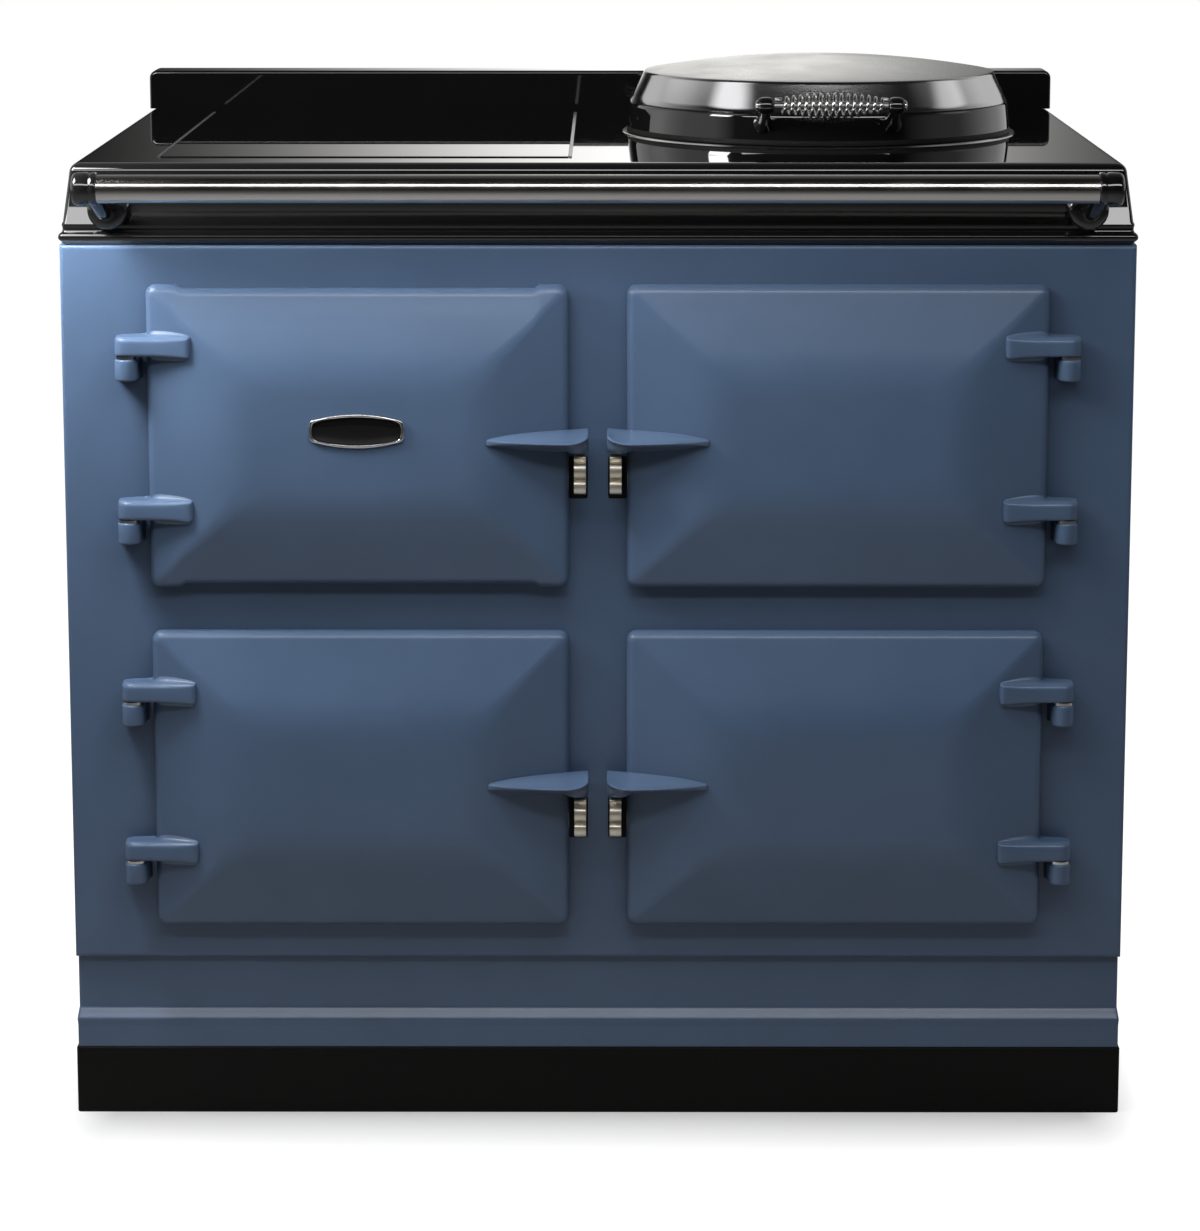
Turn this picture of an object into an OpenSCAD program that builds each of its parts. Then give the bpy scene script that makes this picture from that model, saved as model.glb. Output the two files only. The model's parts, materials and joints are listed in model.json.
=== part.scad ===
// Cast iron range cooker: three ovens, a control compartment, an induction zone
// and a hotplate under a hinged insulated lid.
// Millimetres. +X is the viewer's right, +Y goes to the wall, +Z is up. The origin lies on
// the floor, in the middle of the cooker's own footprint, handrail included.

/* [Body] */
// Width of the blue front casting
body_w = 995; // [940:1:1060]
// Depth from the face of the front casting to the wall
body_d = 698; // [660:1:760]
// Height of the hob surface above the floor
hob_h = 910; // [896:1:950]
// Height of the black plinth
plinth_h = 65; // [50:1:75]
// Height of the skirt moulding above the plinth
skirt_h = 89; // [80:1:95]
// Height of the black fascia below the hob surface
fascia_h = 75; // [68:1:85]
// Thickness of the iron front casting
casting_t = 8; // [6:0.5:12]
// Thickness of the enamelled side panels
side_t = 3; // [1.5:0.5:6]
// Thickness of the steel back panel
back_t = 2; // [1:0.5:4]
// How far the plinth stands out past the front casting on each side
plinth_proud = 1; // [0:0.5:1]
// Wall of the folded steel plinth
plinth_t = 3; // [2:0.5:5]
// Width of the plinth's inner flange
plinth_flange = 25; // [20:1:40]
// How far the skirt's upper field is set back
skirt_recess = 7; // [2:0.5:10]
// Wall of the skirt moulding
skirt_t = 8; // [6:0.5:12]
// Thickness of the base tray
tray_t = 3; // [2:0.5:5]

/* [Feet] */
// Radius of a levelling foot's pad
foot_r = 20; // [15:1:30]
// Thickness of a levelling foot's pad
foot_pad_t = 7; // [5:1:12]
// Radius of a levelling foot's shank
foot_shank_r = 9; // [7:0.5:12]
// Radius of the stud that holds a foot in the tray
foot_stud_r = 5; // [4:0.5:6]
// Distance of a foot from the cooker's sides and ends
foot_inset = 58; // [50:1:90]

/* [Doors] */
// Width of a door
door_w = 390; // [370:1:396]
// Height of a door
door_h = 284; // [270:1:290]
// Width of the front casting that shows between the left and right doors
centre_gap = 54; // [46:1:58]
// Height of the lower doors' middle above the floor
door_low_z = 332; // [325:1:340]
// Height of the upper doors' middle above the lower doors' middle
door_pitch = 326; // [318:1:330]
// Thickness of a door at its rim
door_rim = 13; // [10:0.5:18]
// How far the middle field stands in front of the rim
door_rise = 24; // [15:0.5:30]
// Width of the sloping field at a door's left and right
hip_w = 79; // [60:1:100]
// Height of the sloping field at a door's top and bottom
hip_h = 80; // [60:1:100]
// Corner radius of a door
door_corner_r = 9; // [4:0.5:14]
// Iron thickness behind a door's sloping fields
door_wall = 7; // [5:0.5:9]
// Width of the opening behind a door
opening_w = 330; // [310:1:334]
// Height of the opening behind a door
opening_h = 224; // [210:1:228]
// Clearance between a door's inner pan and the opening
pan_gap = 6; // [4:0.5:10]
// How far a door's inner pan reaches behind the casting's face
pan_depth = 18; // [12:1:22]
// Sheet thickness of a door's inner pan
pan_t = 1.5; // [1:0.5:3]
// Width of the rope seal
seal_w = 8; // [6:0.5:10]
// Thickness of the rope seal
seal_t = 3; // [2:0.5:5]
// Clearance between a closed door and its seal
seal_gap = 0.3; // [0.3:0.1:1]

/* [Door hinges and catches] */
// Radius of a hinge pin
pin_r = 5; // [4:0.5:6]
// Running clearance of a hinge pin, on the radius
pin_gap = 0.05; // [0.02:0.01:0.1]
// Distance of the hinge axis in front of the casting's face
hinge_y = 20; // [18:0.5:24]
// Distance of the hinge axis outside the door's edge
hinge_out = 18; // [16:0.5:20]
// Height of a door's hinge arm
arm_h = 16; // [13:0.5:20]
// Radius of the barrel at the end of a hinge arm
barrel_r = 11; // [9:0.5:12]
// Height of the upper arm's top above the door's middle
arm_high = 93; // [85:1:100]
// Depth of the lower arm's top below the door's middle
arm_low = 60; // [50:1:70]
// Height of a fixed hinge lug
lug_h = 20; // [16:1:26]
// Thickness of the washer collar on a hinge pin
collar_t = 2.5; // [1.5:0.5:4]
// Radius of the washer collar
collar_r = 9.5; // [7.5:0.5:10.5]
// How far a handle stands out past the door's edge
handle_out = 19; // [14:0.5:20]
// Length of a handle on the door's face
handle_on = 76; // [60:1:90]
// Width of a catch
catch_w = 11; // [8:0.5:13]
// Height of a catch
catch_h = 36; // [30:1:45]

/* [Ovens] */
// Inner depth of an oven
oven_d = 470; // [400:1:500]
// Sheet thickness of the oven liners
liner_t = 2; // [1.5:0.5:3]
// Width of the liners' front flange
liner_flange = 14; // [10:1:18]
// Inner depth of the control compartment
compartment_d = 150; // [120:1:200]
// Distance of the control panel behind the casting's face
panel_y = 62; // [58:1:75]
// Thickness of the control panel
panel_t = 2; // [1.5:0.5:3]
// Height of the shelf below an oven's middle
shelf_drop = 46; // [20:1:70]
// Radius of a shelf's frame rod
shelf_rod_r = 3; // [2.5:0.5:4]
// Radius of a shelf's bars
shelf_bar_r = 1.8; // [1.5:0.1:2.5]
// Number of bars in a shelf
shelf_bars = 17; // [9:1:25]
// Radius of an oven's heating element
element_r = 4; // [3:0.5:5]

/* [Controls] */
// Radius of a control knob
knob_r = 19; // [15:0.5:24]
// Length of a control knob
knob_l = 20; // [15:0.5:24]
// Distance between neighbouring knobs
knob_pitch = 84; // [70:1:100]
// Radius of a knob's shaft
shaft_r = 3; // [2.5:0.5:4]
// Running clearance of a knob's shaft, on the radius
shaft_gap = 0.05; // [0.02:0.01:0.1]

/* [Hob] */
// Width of the black hob surface
hob_w = 973; // [950:1:985]
// Width of the glass cooking plate
glass_w = 382; // [340:1:390]
// Depth of the glass cooking plate
glass_d = 524; // [460:1:530]
// Thickness of the glass
glass_t = 6; // [4:0.5:8]
// Distance of the glass plate's middle to the left of the cooker's middle
glass_x = 219; // [215:1:225]
// Distance of the glass's front edge behind the casting's face
glass_y = 68; // [60:1:80]
// Height of the glass above the hob surface
glass_proud = 1; // [0:0.1:2]
// Height of the upstand at the back of the hob
upstand_h = 41; // [30:1:60]
// Thickness of the upstand
upstand_t = 46; // [30:1:54]
// Width of the upstand
upstand_w = 976; // [940:1:990]
// Radius of the hotplate
plate_r = 176; // [160:1:180]
// Thickness of the hotplate
plate_t = 22; // [16:1:30]
// Height of the hotplate above the hob surface
plate_proud = 0.8; // [0.2:0.1:1.2]

/* [Lid] */
// Radius of the lid at its foot
lid_r = 193; // [189:0.5:196]
// Distance of the lid's middle to the right of the cooker's middle
lid_x = 221; // [215:1:230]
// Distance of the lid's middle behind the casting's face
lid_y = 362; // [350:1:375]
// Height of the lid's black skirt
lid_skirt_h = 32; // [26:1:38]
// Height of the chrome bevel above the skirt
lid_bevel_h = 30; // [24:1:36]
// Height of the domed top above the bevel
lid_crown_h = 15; // [8:1:20]
// Inset of the lid's top from its foot
lid_top_in = 19.5; // [12:0.5:26]
// Sheet thickness of the chrome dome
lid_t = 2.5; // [1.5:0.5:4]
// Clearance between the closed lid and the ring under it
lid_gap = 0.3; // [0.3:0.1:1]
// Distance of the lid's hinge axis behind its skirt
lid_hinge_out = 16; // [14:0.5:24]
// Height of the lid's hinge axis above the hob
lid_hinge_z = 26; // [20:1:32]
// Radius of the lid's hinge pin
lid_pin_r = 5; // [4:0.5:6]

/* [Lid grip] */
// Distance between the two grip posts
grip_span = 124; // [116:1:150]
// Distance of the grip in front of the lid's skirt
grip_out = 45; // [38:1:60]
// Height of the grip above the hob
grip_z = 44; // [40:1:50]
// Radius of a grip post
post_r = 8; // [6:0.5:10]
// Radius of the rod through the grip
rod_r = 3.5; // [2.5:0.5:4]
// Number of curls in the coil grip
coil_turns = 15; // [9:1:17]
// Radius of the coil's wire
wire_r = 1.75; // [1.2:0.05:2]
// Middle radius of the curls half way along the grip
coil_mid_r = 10.5; // [8:0.5:12]
// Middle radius of the curls at the grip's ends
coil_end_r = 6; // [6:0.5:7]

/* [Handrail] */
// Radius of the handrail
rail_r = 13.2; // [10:0.1:14]
// Wall of the handrail tube
rail_wall = 1.5; // [1:0.5:3]
// Half length of the handrail, over its end caps
rail_half = 477; // [460:1:484]
// Distance of the handrail's middle in front of the casting's face
rail_out = 50; // [44:1:60]
// Depth of the handrail's middle below the hob surface
rail_drop = 18; // [14:1:24]
// Radius of the handrail's end caps
cap_r = 15.5; // [14.5:0.1:17]
// Length of an end cap
cap_l = 22; // [18:1:30]

/* [Cable entry] */
// Bore of the cable gland
gland_bore_r = 7; // [5:0.5:8]
// Outer radius of the cable gland
gland_r = 12; // [10.5:0.5:14]
// Length of the cable gland
gland_l = 40; // [30:1:50]
// Distance of the cable gland from the cooker's middle
gland_x = 330; // [200:1:380]
// Height of the cable gland above the floor
gland_z = 120; // [110:1:150]

/* [Hidden] */
$fn = 96;

// Small clearance between pieces that lie against each other
slip = 0.3;
// Clearance of a curved piece that seats in another
snug = 0.05;
// Overlap that makes a cut go clean through a wall
cut = 1;
body_half = body_w / 2;
// The cooker's own front face lies this far in front of the middle of its footprint
rail_proud = rail_out + cap_r;
front_y = (rail_proud - body_d) / 2;
skirt_top_z = plinth_h + skirt_h;
front_top_z = hob_h - fascia_h;
door_high_z = door_low_z + door_pitch;
door_x = (door_w + centre_gap) / 2;
door_back = seal_t + seal_gap;
door_front = door_back + door_rim + door_rise;
pin_x = door_w / 2 + hinge_out;
pan_w = opening_w - 2 * pan_gap;
pan_h = opening_h - 2 * pan_gap;
// The pan's flange lies on four bosses inside the door casting
pan_flange_y = door_back + door_rim - door_wall;
boss_r = 7;
boss_inset = 14;
panel_z = door_high_z;
knob_z = panel_z - 18;
rail_z = hob_h - rail_drop;
// Height of the hotplate's ring above the hob surface
ring_proud = 1.2;
lid_base_z = hob_h + lid_gap + ring_proud;
lid_skirt_z = hob_h + lid_skirt_h;
lid_bevel_z = lid_skirt_z + lid_bevel_h;
lid_apex_z = lid_bevel_z + lid_crown_h;
lid_axis_y = lid_y + lid_r + lid_hinge_out;
upstand_y = body_d - upstand_t - back_t;

blue = "#526a86";
black = "#141416";
chrome = "#d8d8da";
nickel = "#cfc8b8";
steel = "#9a9da0";
dark_steel = "#55585c";
iron = "#3c3c3e";
copper = "#b0683c";
wool = "#c9c4b0";

// Moves a piece from the casting's own frame (y = 0 on the front face) into the cooker's
module placed() translate([0, front_y, 0]) children();

// A box from its low corner to its high corner
module span(low, high) translate(low) cube(high - low);

// An extrusion of an outline in (x, z) along +Y, from y0 to y1
module along_y(y0, y1) translate([0, y1, 0]) rotate([90, 0, 0]) linear_extrude(y1 - y0) children();

// An extrusion of an outline in (y, z) along +X, from x0 to x1
module along_x(x0, x1) translate([x0, 0, 0]) rotate([90, 0, 90]) linear_extrude(x1 - x0) children();

// A round bar along +X, +Y or +Z
module bar_x(r, x0, x1) translate([x0, 0, 0]) rotate([0, 90, 0]) cylinder(r = r, h = x1 - x0);
module bar_y(r, y0, y1) translate([0, y0, 0]) rotate([-90, 0, 0]) cylinder(r = r, h = y1 - y0);
module bar_z(r, z0, z1) translate([0, 0, z0]) cylinder(r = r, h = z1 - z0);

// A flat rectangle about the origin, with round corners
module round_rect(w, h, r) {
    square([w, h - 2 * r], center = true);
    square([w - 2 * r, h], center = true);
    for (sx = [-1, 1], sy = [-1, 1]) {
        translate([sx * (w / 2 - r), sy * (h / 2 - r)]) circle(r);
    }
}

// Points of an arc about c, from angle a0 to a1
function arc(c, r, a0, a1, n) =
    [for (i = [0 : n]) c + r * [cos(a0 + (a1 - a0) * i / n), sin(a0 + (a1 - a0) * i / n)]];

// ------------------------------------------------------------------ cabinet

// A block whose front and sides carry an edge moulding. Both outlines give, for rising
// heights, how far the edge stands out past the front casting's face.
module moulded_block(front_edge, side_edge, y_back, z0, z1) {
    intersection() {
        along_x(-body_half - cap_r, body_half + cap_r) polygon(concat(
            [for (p = front_edge) [-p[0], p[1]]], [[y_back, z1], [y_back, z0]]));
        along_y(-cap_r, y_back) polygon(concat(
            [for (p = side_edge) [body_half + p[0], p[1]]],
            [for (i = [len(side_edge) - 1 : -1 : 0]) [-body_half - side_edge[i][0], side_edge[i][1]]]));
    }
}

module plinth() color(black) placed() {
    half = body_half + plinth_proud;
    difference() {
        span([-half, -plinth_proud, 0], [half, body_d - back_t, plinth_h]);
        span([-half + plinth_t, plinth_t - plinth_proud, -cut],
             [half - plinth_t, body_d - back_t - plinth_t, plinth_h - 2 * tray_t]);
        span([-half + plinth_t, plinth_t - plinth_proud, plinth_h - tray_t],
             [half - plinth_t, body_d - back_t - plinth_t, plinth_h + cut]);
        span([-half + plinth_flange, plinth_flange, -cut],
             [half - plinth_flange, body_d - plinth_flange, plinth_h + cut]);
    }
}

// How far a foot's stud stands above the base tray
stud_end = 12;
foot_x = body_half - foot_inset;
foot_ys = [foot_inset, body_d - foot_inset];

module levelling_feet() color(dark_steel) placed() {
    tray_bottom = plinth_h - tray_t;
    for (x = [-foot_x, foot_x], y = foot_ys) translate([x, y, 0]) {
        bar_z(foot_r, 0, foot_pad_t);
        bar_z(foot_shank_r, 0, tray_bottom);
        bar_z(foot_stud_r, 0, plinth_h + stud_end);
    }
}

module base_tray() color(dark_steel) placed() {
    half = body_half + plinth_proud - plinth_t - slip;
    difference() {
        span([-half, plinth_t - plinth_proud + slip, plinth_h - tray_t],
             [half, body_d - back_t - plinth_t - slip, plinth_h]);
        for (x = [-foot_x, foot_x], y = foot_ys) {
            translate([x, y, 0]) bar_z(foot_stud_r + snug, 0, hob_h);
        }
    }
}

// The skirt: a set-back upper field, a sloping bead and a flat foot
skirt_bead_z = plinth_h + 0.3 * skirt_h;
bead_slope = 9;
bead_end = 14;
bead_round = 4;
foot_set = 0.5;
// How far the skirt's upper field is set back at the cooker's sides
side_recess = 1.5;
skirt_front = [[-foot_set, plinth_h], [-foot_set, skirt_bead_z - bead_round], [0, skirt_bead_z],
    [1 - skirt_recess, skirt_bead_z + bead_slope], [-skirt_recess, skirt_bead_z + bead_end],
    [-skirt_recess, skirt_top_z]];
skirt_side = [[-foot_set, plinth_h], [-foot_set, skirt_bead_z - bead_round], [0, skirt_bead_z],
    [foot_set - side_recess, skirt_bead_z + bead_slope], [-side_recess, skirt_bead_z + bead_end],
    [-side_recess, skirt_top_z]];

module skirt_moulding() color(blue) placed() {
    difference() {
        moulded_block(skirt_front, skirt_side, body_d - back_t, plinth_h, skirt_top_z);
        span([-body_half + skirt_t, skirt_recess + skirt_t, -cut],
             [body_half - skirt_t, body_d, hob_h]);
    }
}

// Left and right doors are mirror images: side is -1 on the left and 1 on the right
door_places = [[1, door_high_z], [1, door_low_z], [-1, door_low_z], [-1, door_high_z]];
lug_tops = [arm_high - arm_h - slip - collar_t, -arm_low - arm_h - slip - collar_t];
// Radius of the spigot that fixes a hinge lug in the front casting
spigot_r = 6;
// How far the spigot stands out behind the casting
spigot_end = 4;

module front_casting() color(blue) placed() {
    difference() {
        span([-body_half, 0, skirt_top_z], [body_half, casting_t, front_top_z]);
        for (p = door_places) {
            translate([p[0] * door_x, 0, p[1]])
                along_y(-cut, casting_t + cut) round_rect(opening_w, opening_h, door_corner_r);
            for (top = lug_tops) {
                translate([p[0] * (door_x + pin_x), 0, p[1] + top - lug_h / 2])
                    bar_y(spigot_r + snug, -cut, casting_t + cut);
            }
        }
    }
}

// The fixed half of each door hinge, with a spigot through the front casting
module hinge_lugs() color(blue) placed() {
    for (p = door_places, top = lug_tops) {
        translate([p[0] * (door_x + pin_x), 0, p[1] + top]) difference() {
            union() {
                translate([0, -hinge_y, 0]) bar_z(barrel_r, -lug_h, 0);
                span([-barrel_r + 1, -hinge_y, -lug_h], [barrel_r - 1, 0, 0]);
                translate([0, 0, -lug_h / 2]) bar_y(spigot_r, -hinge_y / 4, casting_t + spigot_end);
            }
            translate([0, -hinge_y, 0]) bar_z(pin_r + snug, -lug_h - cut, cut);
        }
    }
}

// Iron above the blind bore in a hinge arm
arm_cap = 3;
arm_bore = arm_h - arm_cap;
// How far a hinge arm's web runs into the door from the pin
arm_web = 62;

module hinge_pins() color(nickel) placed() {
    for (p = door_places, top = lug_tops) {
        translate([p[0] * (door_x + pin_x), -hinge_y, p[1] + top]) {
            bar_z(pin_r, -lug_h, collar_t + slip + arm_bore - cut);
            bar_z(collar_r, 0, collar_t);
        }
    }
}

// Height of a catch's top below the door's middle, and its place across the front
catch_top = 14;
catch_x = (centre_gap - handle_out) / 2 - 1;
// How far a catch reaches in front of the hinge axis
catch_lead = 22;
catch_reach = hinge_y + catch_lead;
// Height of a catch's stem, and thickness of its foot on the casting
catch_stem_h = 8;
catch_foot_t = 4;

// The catches: a curled nickel tongue in front of the casting, one under each handle
module catches() color(nickel) placed() {
    curl = catch_h * 0.16;
    middle = catch_reach - curl;
    for (p = door_places) translate([p[0] * catch_x, 0, p[1] - catch_top]) {
        along_x(-catch_w / 2, catch_w / 2) {
            translate([-middle, -curl]) circle(curl);
            translate([-middle - 0.5, -catch_h / 2]) circle(curl * 1.1);
            translate([-middle, -catch_h + curl]) circle(curl);
            translate([-middle - 1, -catch_h + curl]) square([3, catch_h - 2 * curl]);
            translate([-middle, -(catch_h + catch_stem_h) / 2]) square([middle, catch_stem_h]);
            translate([-catch_foot_t, -catch_h]) square([catch_foot_t, catch_h]);
        }
    }
}

module door_seals() color(dark_steel) placed() {
    inner = 3;
    for (p = door_places) translate([p[0] * door_x, 0, p[1]]) along_y(-seal_t, 0) difference() {
        round_rect(opening_w + 2 * (inner + seal_w), opening_h + 2 * (inner + seal_w),
                   door_corner_r + inner + seal_w);
        round_rect(opening_w + 2 * inner, opening_h + 2 * inner, door_corner_r + inner);
    }
}

module side_panel(side) placed() {
    x0 = side > 0 ? body_half - side_t : -body_half;
    span([x0, casting_t, skirt_top_z], [x0 + side_t, body_d - back_t, front_top_z]);
}
module left_side_panel() color(blue) side_panel(-1);
module right_side_panel() color(blue) side_panel(1);

vent_w = 90;
vent_h = 6;
vent_pitch = 16;
vent_rows = 8;
// Depth of the highest row of vents below the back panel's top
vent_drop = 60;

module back_panel() color(steel) placed() difference() {
    span([-body_half, body_d - back_t, plinth_h], [body_half, body_d, front_top_z]);
    translate([gland_x, 0, gland_z]) bar_y(gland_r + snug, body_d - back_t - cut, body_d + cut);
    for (x = [-door_x, 0, door_x], i = [0 : vent_rows - 1]) {
        translate([x, 0, front_top_z - vent_drop - i * vent_pitch])
            along_y(body_d - back_t - cut, body_d + cut) round_rect(vent_w, vent_h, vent_h / 2 - 0.1);
    }
}

// ------------------------------------------------------------------ hob

// The fascia's edge from the bottom bead up over the rolled front edge
hob_in = body_half - hob_w / 2;
edge_r = 9;
bead_r = 4.5;
bead_out = 1;
// Half the angle over which the bead's face is round
bead_turn = 65;
function hob_edge() = concat(
    [[-1, front_top_z]],
    arc([bead_out - bead_r, front_top_z + 1.6 * bead_r], bead_r, -bead_turn, bead_turn, 6),
    [[-2, front_top_z + 3 * bead_r]],
    arc([-hob_in - 3 + edge_r / 2 - edge_r, hob_h - edge_r], edge_r, 6, 90, 6));
hob_back_y = body_d;

module top_block() moulded_block(hob_edge(), hob_edge(), hob_back_y, front_top_z, hob_h);

// Wall and top thickness of the top casting
top_wall = 8;
glass_seat = 15;
ring_r = lid_r + 5;
ring_hole_r = plate_r + 8;
glass_back_y = glass_y + glass_d;

module top_casting() color(black) placed() difference() {
    top_block();
    span([-hob_w / 2 + top_wall, hob_in + top_wall, front_top_z - cut],
         [hob_w / 2 - top_wall, body_d - top_wall, hob_h - top_wall]);
    span([-glass_x - glass_w / 2 - slip, glass_y - slip, hob_h + glass_proud - glass_t],
         [-glass_x + glass_w / 2 + slip, glass_back_y + slip, hob_h + cut]);
    span([-glass_x - glass_w / 2 + glass_seat, glass_y + glass_seat, front_top_z],
         [-glass_x + glass_w / 2 - glass_seat, glass_back_y - glass_seat, hob_h + cut]);
    translate([lid_x, lid_y, 0]) bar_z(ring_hole_r, front_top_z, hob_h + cut);
}

module upstand() color(black) placed() {
    r = 8;
    along_y(upstand_y, body_d) difference() {
        translate([0, hob_h + upstand_h / 2 - r / 2]) round_rect(upstand_w, upstand_h + r, r);
        translate([-body_w / 2, hob_h - fascia_h]) square([body_w, fascia_h]);
    }
}

module hob_glass() color("#0c0c0e") placed() {
    span([-glass_x - glass_w / 2, glass_y, hob_h + glass_proud - glass_t],
         [-glass_x + glass_w / 2, glass_back_y, hob_h + glass_proud]);
}

// Steel strips along the glass's left and right edges
trim_w = 3;

module glass_trim() color(steel) placed() {
    for (side = [-1, 1]) {
        x = -glass_x + side * (glass_w / 2 + slip + trim_w / 2);
        span([x - trim_w / 2, glass_y, hob_h], [x + trim_w / 2, glass_back_y, hob_h + glass_proud]);
    }
}

tray_depth = 34;
tray_wall = 1.5;
// Clearance of the tray in the glass's hole, and width of its lip round that hole
tray_slack = 2;
tray_lip = 12;

// A steel tray that hangs under the glass's seat and holds the coils
module induction_tray() color(steel) placed() {
    x0 = -glass_x - glass_w / 2 + glass_seat;
    x1 = -glass_x + glass_w / 2 - glass_seat;
    top = hob_h - top_wall;
    difference() {
        union() {
            span([x0 + tray_slack, glass_y + glass_seat + tray_slack, top - tray_depth],
                 [x1 - tray_slack, glass_back_y - glass_seat - tray_slack, top]);
            span([x0 - tray_lip, glass_y + glass_seat - tray_lip, top - tray_wall],
                 [x1 + tray_lip, glass_back_y - glass_seat + tray_lip, top]);
        }
        inner = tray_slack + tray_wall;
        span([x0 + inner, glass_y + glass_seat + inner, top - tray_depth + tray_wall],
             [x1 - inner, glass_back_y - glass_seat - inner, top + cut]);
    }
}

coil_r = 95;
coil_hole_r = 22;
coil_t = 12;
coil_leg_h = 8;
coil_leg_r = 6;

// Two flat coils on insulating legs in the tray
module induction_coils() color(copper) placed() {
    floor_z = hob_h - top_wall - tray_depth + tray_wall;
    for (y = [glass_y + glass_d * 0.28, glass_y + glass_d * 0.72]) translate([-glass_x, y, floor_z]) {
        difference() {
            bar_z(coil_r, coil_leg_h, coil_leg_h + coil_t);
            bar_z(coil_hole_r, -cut, coil_leg_h + coil_t + cut);
        }
        for (a = [0 : 90 : 270]) rotate([0, 0, a]) translate([coil_r * 0.6, 0, 0])
            bar_z(coil_leg_r, 0, coil_leg_h + 1);
    }
}

// Width and thickness of the hotplate's flange
plate_flange = 10;
plate_flange_t = 8;
plate_under_z = min(hob_h + plate_proud - plate_t, hob_h - top_wall - plate_flange_t);

// The machined iron plate, with a flange under the top casting's wall
module hotplate() color(iron) placed() translate([lid_x, lid_y, 0]) {
    bar_z(plate_r, hob_h + plate_proud - plate_t, hob_h + plate_proud);
    bar_z(ring_hole_r + plate_flange, hob_h - top_wall - plate_flange_t, hob_h - top_wall);
}

module hotplate_ring() color(chrome) placed() translate([lid_x, lid_y, 0]) rotate_extrude() {
    polygon([[plate_r + slip, hob_h], [ring_r, hob_h], [ring_r, hob_h + ring_proud * 0.6],
        [ring_r - 1, hob_h + ring_proud], [plate_r + slip, hob_h + ring_proud]]);
    polygon([[plate_r + slip, hob_h - top_wall + slip], [ring_hole_r - slip, hob_h - top_wall + slip],
        [ring_hole_r - slip, hob_h + slip], [plate_r + slip, hob_h + slip]]);
}

carrier_t = 5;
heat_ring_r = 6;

// Two heating rings cast into a carrier under the hotplate
module hotplate_element() color(dark_steel) placed() translate([lid_x, lid_y, plate_under_z]) {
    bar_z(plate_r * 0.86, -carrier_t, 0);
    for (r = [plate_r * 0.45, plate_r * 0.72]) translate([0, 0, 1 - carrier_t - heat_ring_r])
        rotate_extrude() translate([r, 0]) circle(heat_ring_r, $fn = 24);
}

// Foot length and thickness, ear place and ear width of the lid's hinge bracket
lid_hinge_foot = 30;
lid_foot_t = 5;
lid_foot_side = 16;
ear_x = 46;
ear_w = 12;
lid_barrel_r = 10;

module lid_hinge_bracket() color(chrome) placed() translate([lid_x, lid_axis_y, hob_h]) difference() {
    union() {
        span([-ear_x - lid_foot_side, 2 - lid_barrel_r, 0],
             [ear_x + lid_foot_side, 2 - lid_barrel_r + lid_hinge_foot, lid_foot_t]);
        for (side = [-1, 1]) {
            span([side * ear_x - ear_w / 2, -lid_barrel_r + 2, 0],
                 [side * ear_x + ear_w / 2, lid_barrel_r - 2, lid_hinge_z]);
            translate([side * ear_x, 0, lid_hinge_z]) bar_x(lid_barrel_r, -ear_w / 2, ear_w / 2);
        }
    }
    translate([0, 0, lid_hinge_z]) bar_x(lid_pin_r + pin_gap, -body_half, body_half);
}

// ------------------------------------------------------------------ handrail

module handrail() color(nickel) placed() translate([0, -rail_out, rail_z]) difference() {
    reach = rail_half - cap_l / 2;
    bar_x(rail_r, -reach, reach);
    bar_x(rail_r - rail_wall, -reach - cut, reach + cut);
}

// Cast end brackets: a cup over the rail's end, an arm and a foot on the sloping fascia
bracket_base_r = 15;
bracket_base_z = rail_z - 24;
bracket_arm_w = 17;

module rail_brackets() color(black) placed() for (side = [-1, 1]) scale([side, 1, 1]) {
    cap_in = rail_half - cap_l;
    arm_x = cap_in - bracket_arm_w / 2 + 5;
    difference() {
        union() {
            translate([0, -rail_out, rail_z]) {
                bar_x(cap_r, cap_in, rail_half - 3);
                bar_x(cap_r - 3, cap_in, rail_half);
            }
            translate([arm_x, 0, bracket_base_z]) bar_y(bracket_base_r, -9, hob_in + edge_r);
            along_x(arm_x - bracket_arm_w / 2, arm_x + bracket_arm_w / 2) polygon([
                [-rail_out - 6, rail_z - 10], [-rail_out + 2, rail_z - 15],
                [-12, bracket_base_z - 11], [0, bracket_base_z - 12], [0, bracket_base_z + 12],
                [-14, bracket_base_z + 13], [-rail_out + 14, rail_z + 2], [-rail_out, rail_z + 4]]);
        }
        top_block();
        translate([0, -rail_out, rail_z]) bar_x(rail_r + snug, -rail_half, rail_half - cap_l / 2 + slip);
    }
}

// ------------------------------------------------------------------ ovens

// An oven's inner size; the liner is a little larger than its opening
cavity_w = opening_w + 4;
cavity_h = opening_h + 4;
element_drop = 16;
element_x = cavity_w / 2 - 60;
// Width and thickness of the ledges that carry a shelf, and their ends before the liner's
ledge = 9;
ledge_t = 3;
ledge_front = 30;
ledge_rear = 10;
// Ends of a shelf before the liner's, and its clearance at each side
shelf_front = 40;
shelf_rear = 20;
shelf_slack = 4;

module liner_shell(depth) {
    difference() {
        union() {
            along_y(casting_t, casting_t + depth + liner_t)
                round_rect(cavity_w + 2 * liner_t, cavity_h + 2 * liner_t, door_corner_r);
            along_y(casting_t, casting_t + liner_t) round_rect(
                cavity_w + 2 * liner_flange, cavity_h + 2 * liner_flange, door_corner_r);
        }
        along_y(casting_t - cut, casting_t + depth) round_rect(cavity_w, cavity_h, door_corner_r);
    }
}

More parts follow.
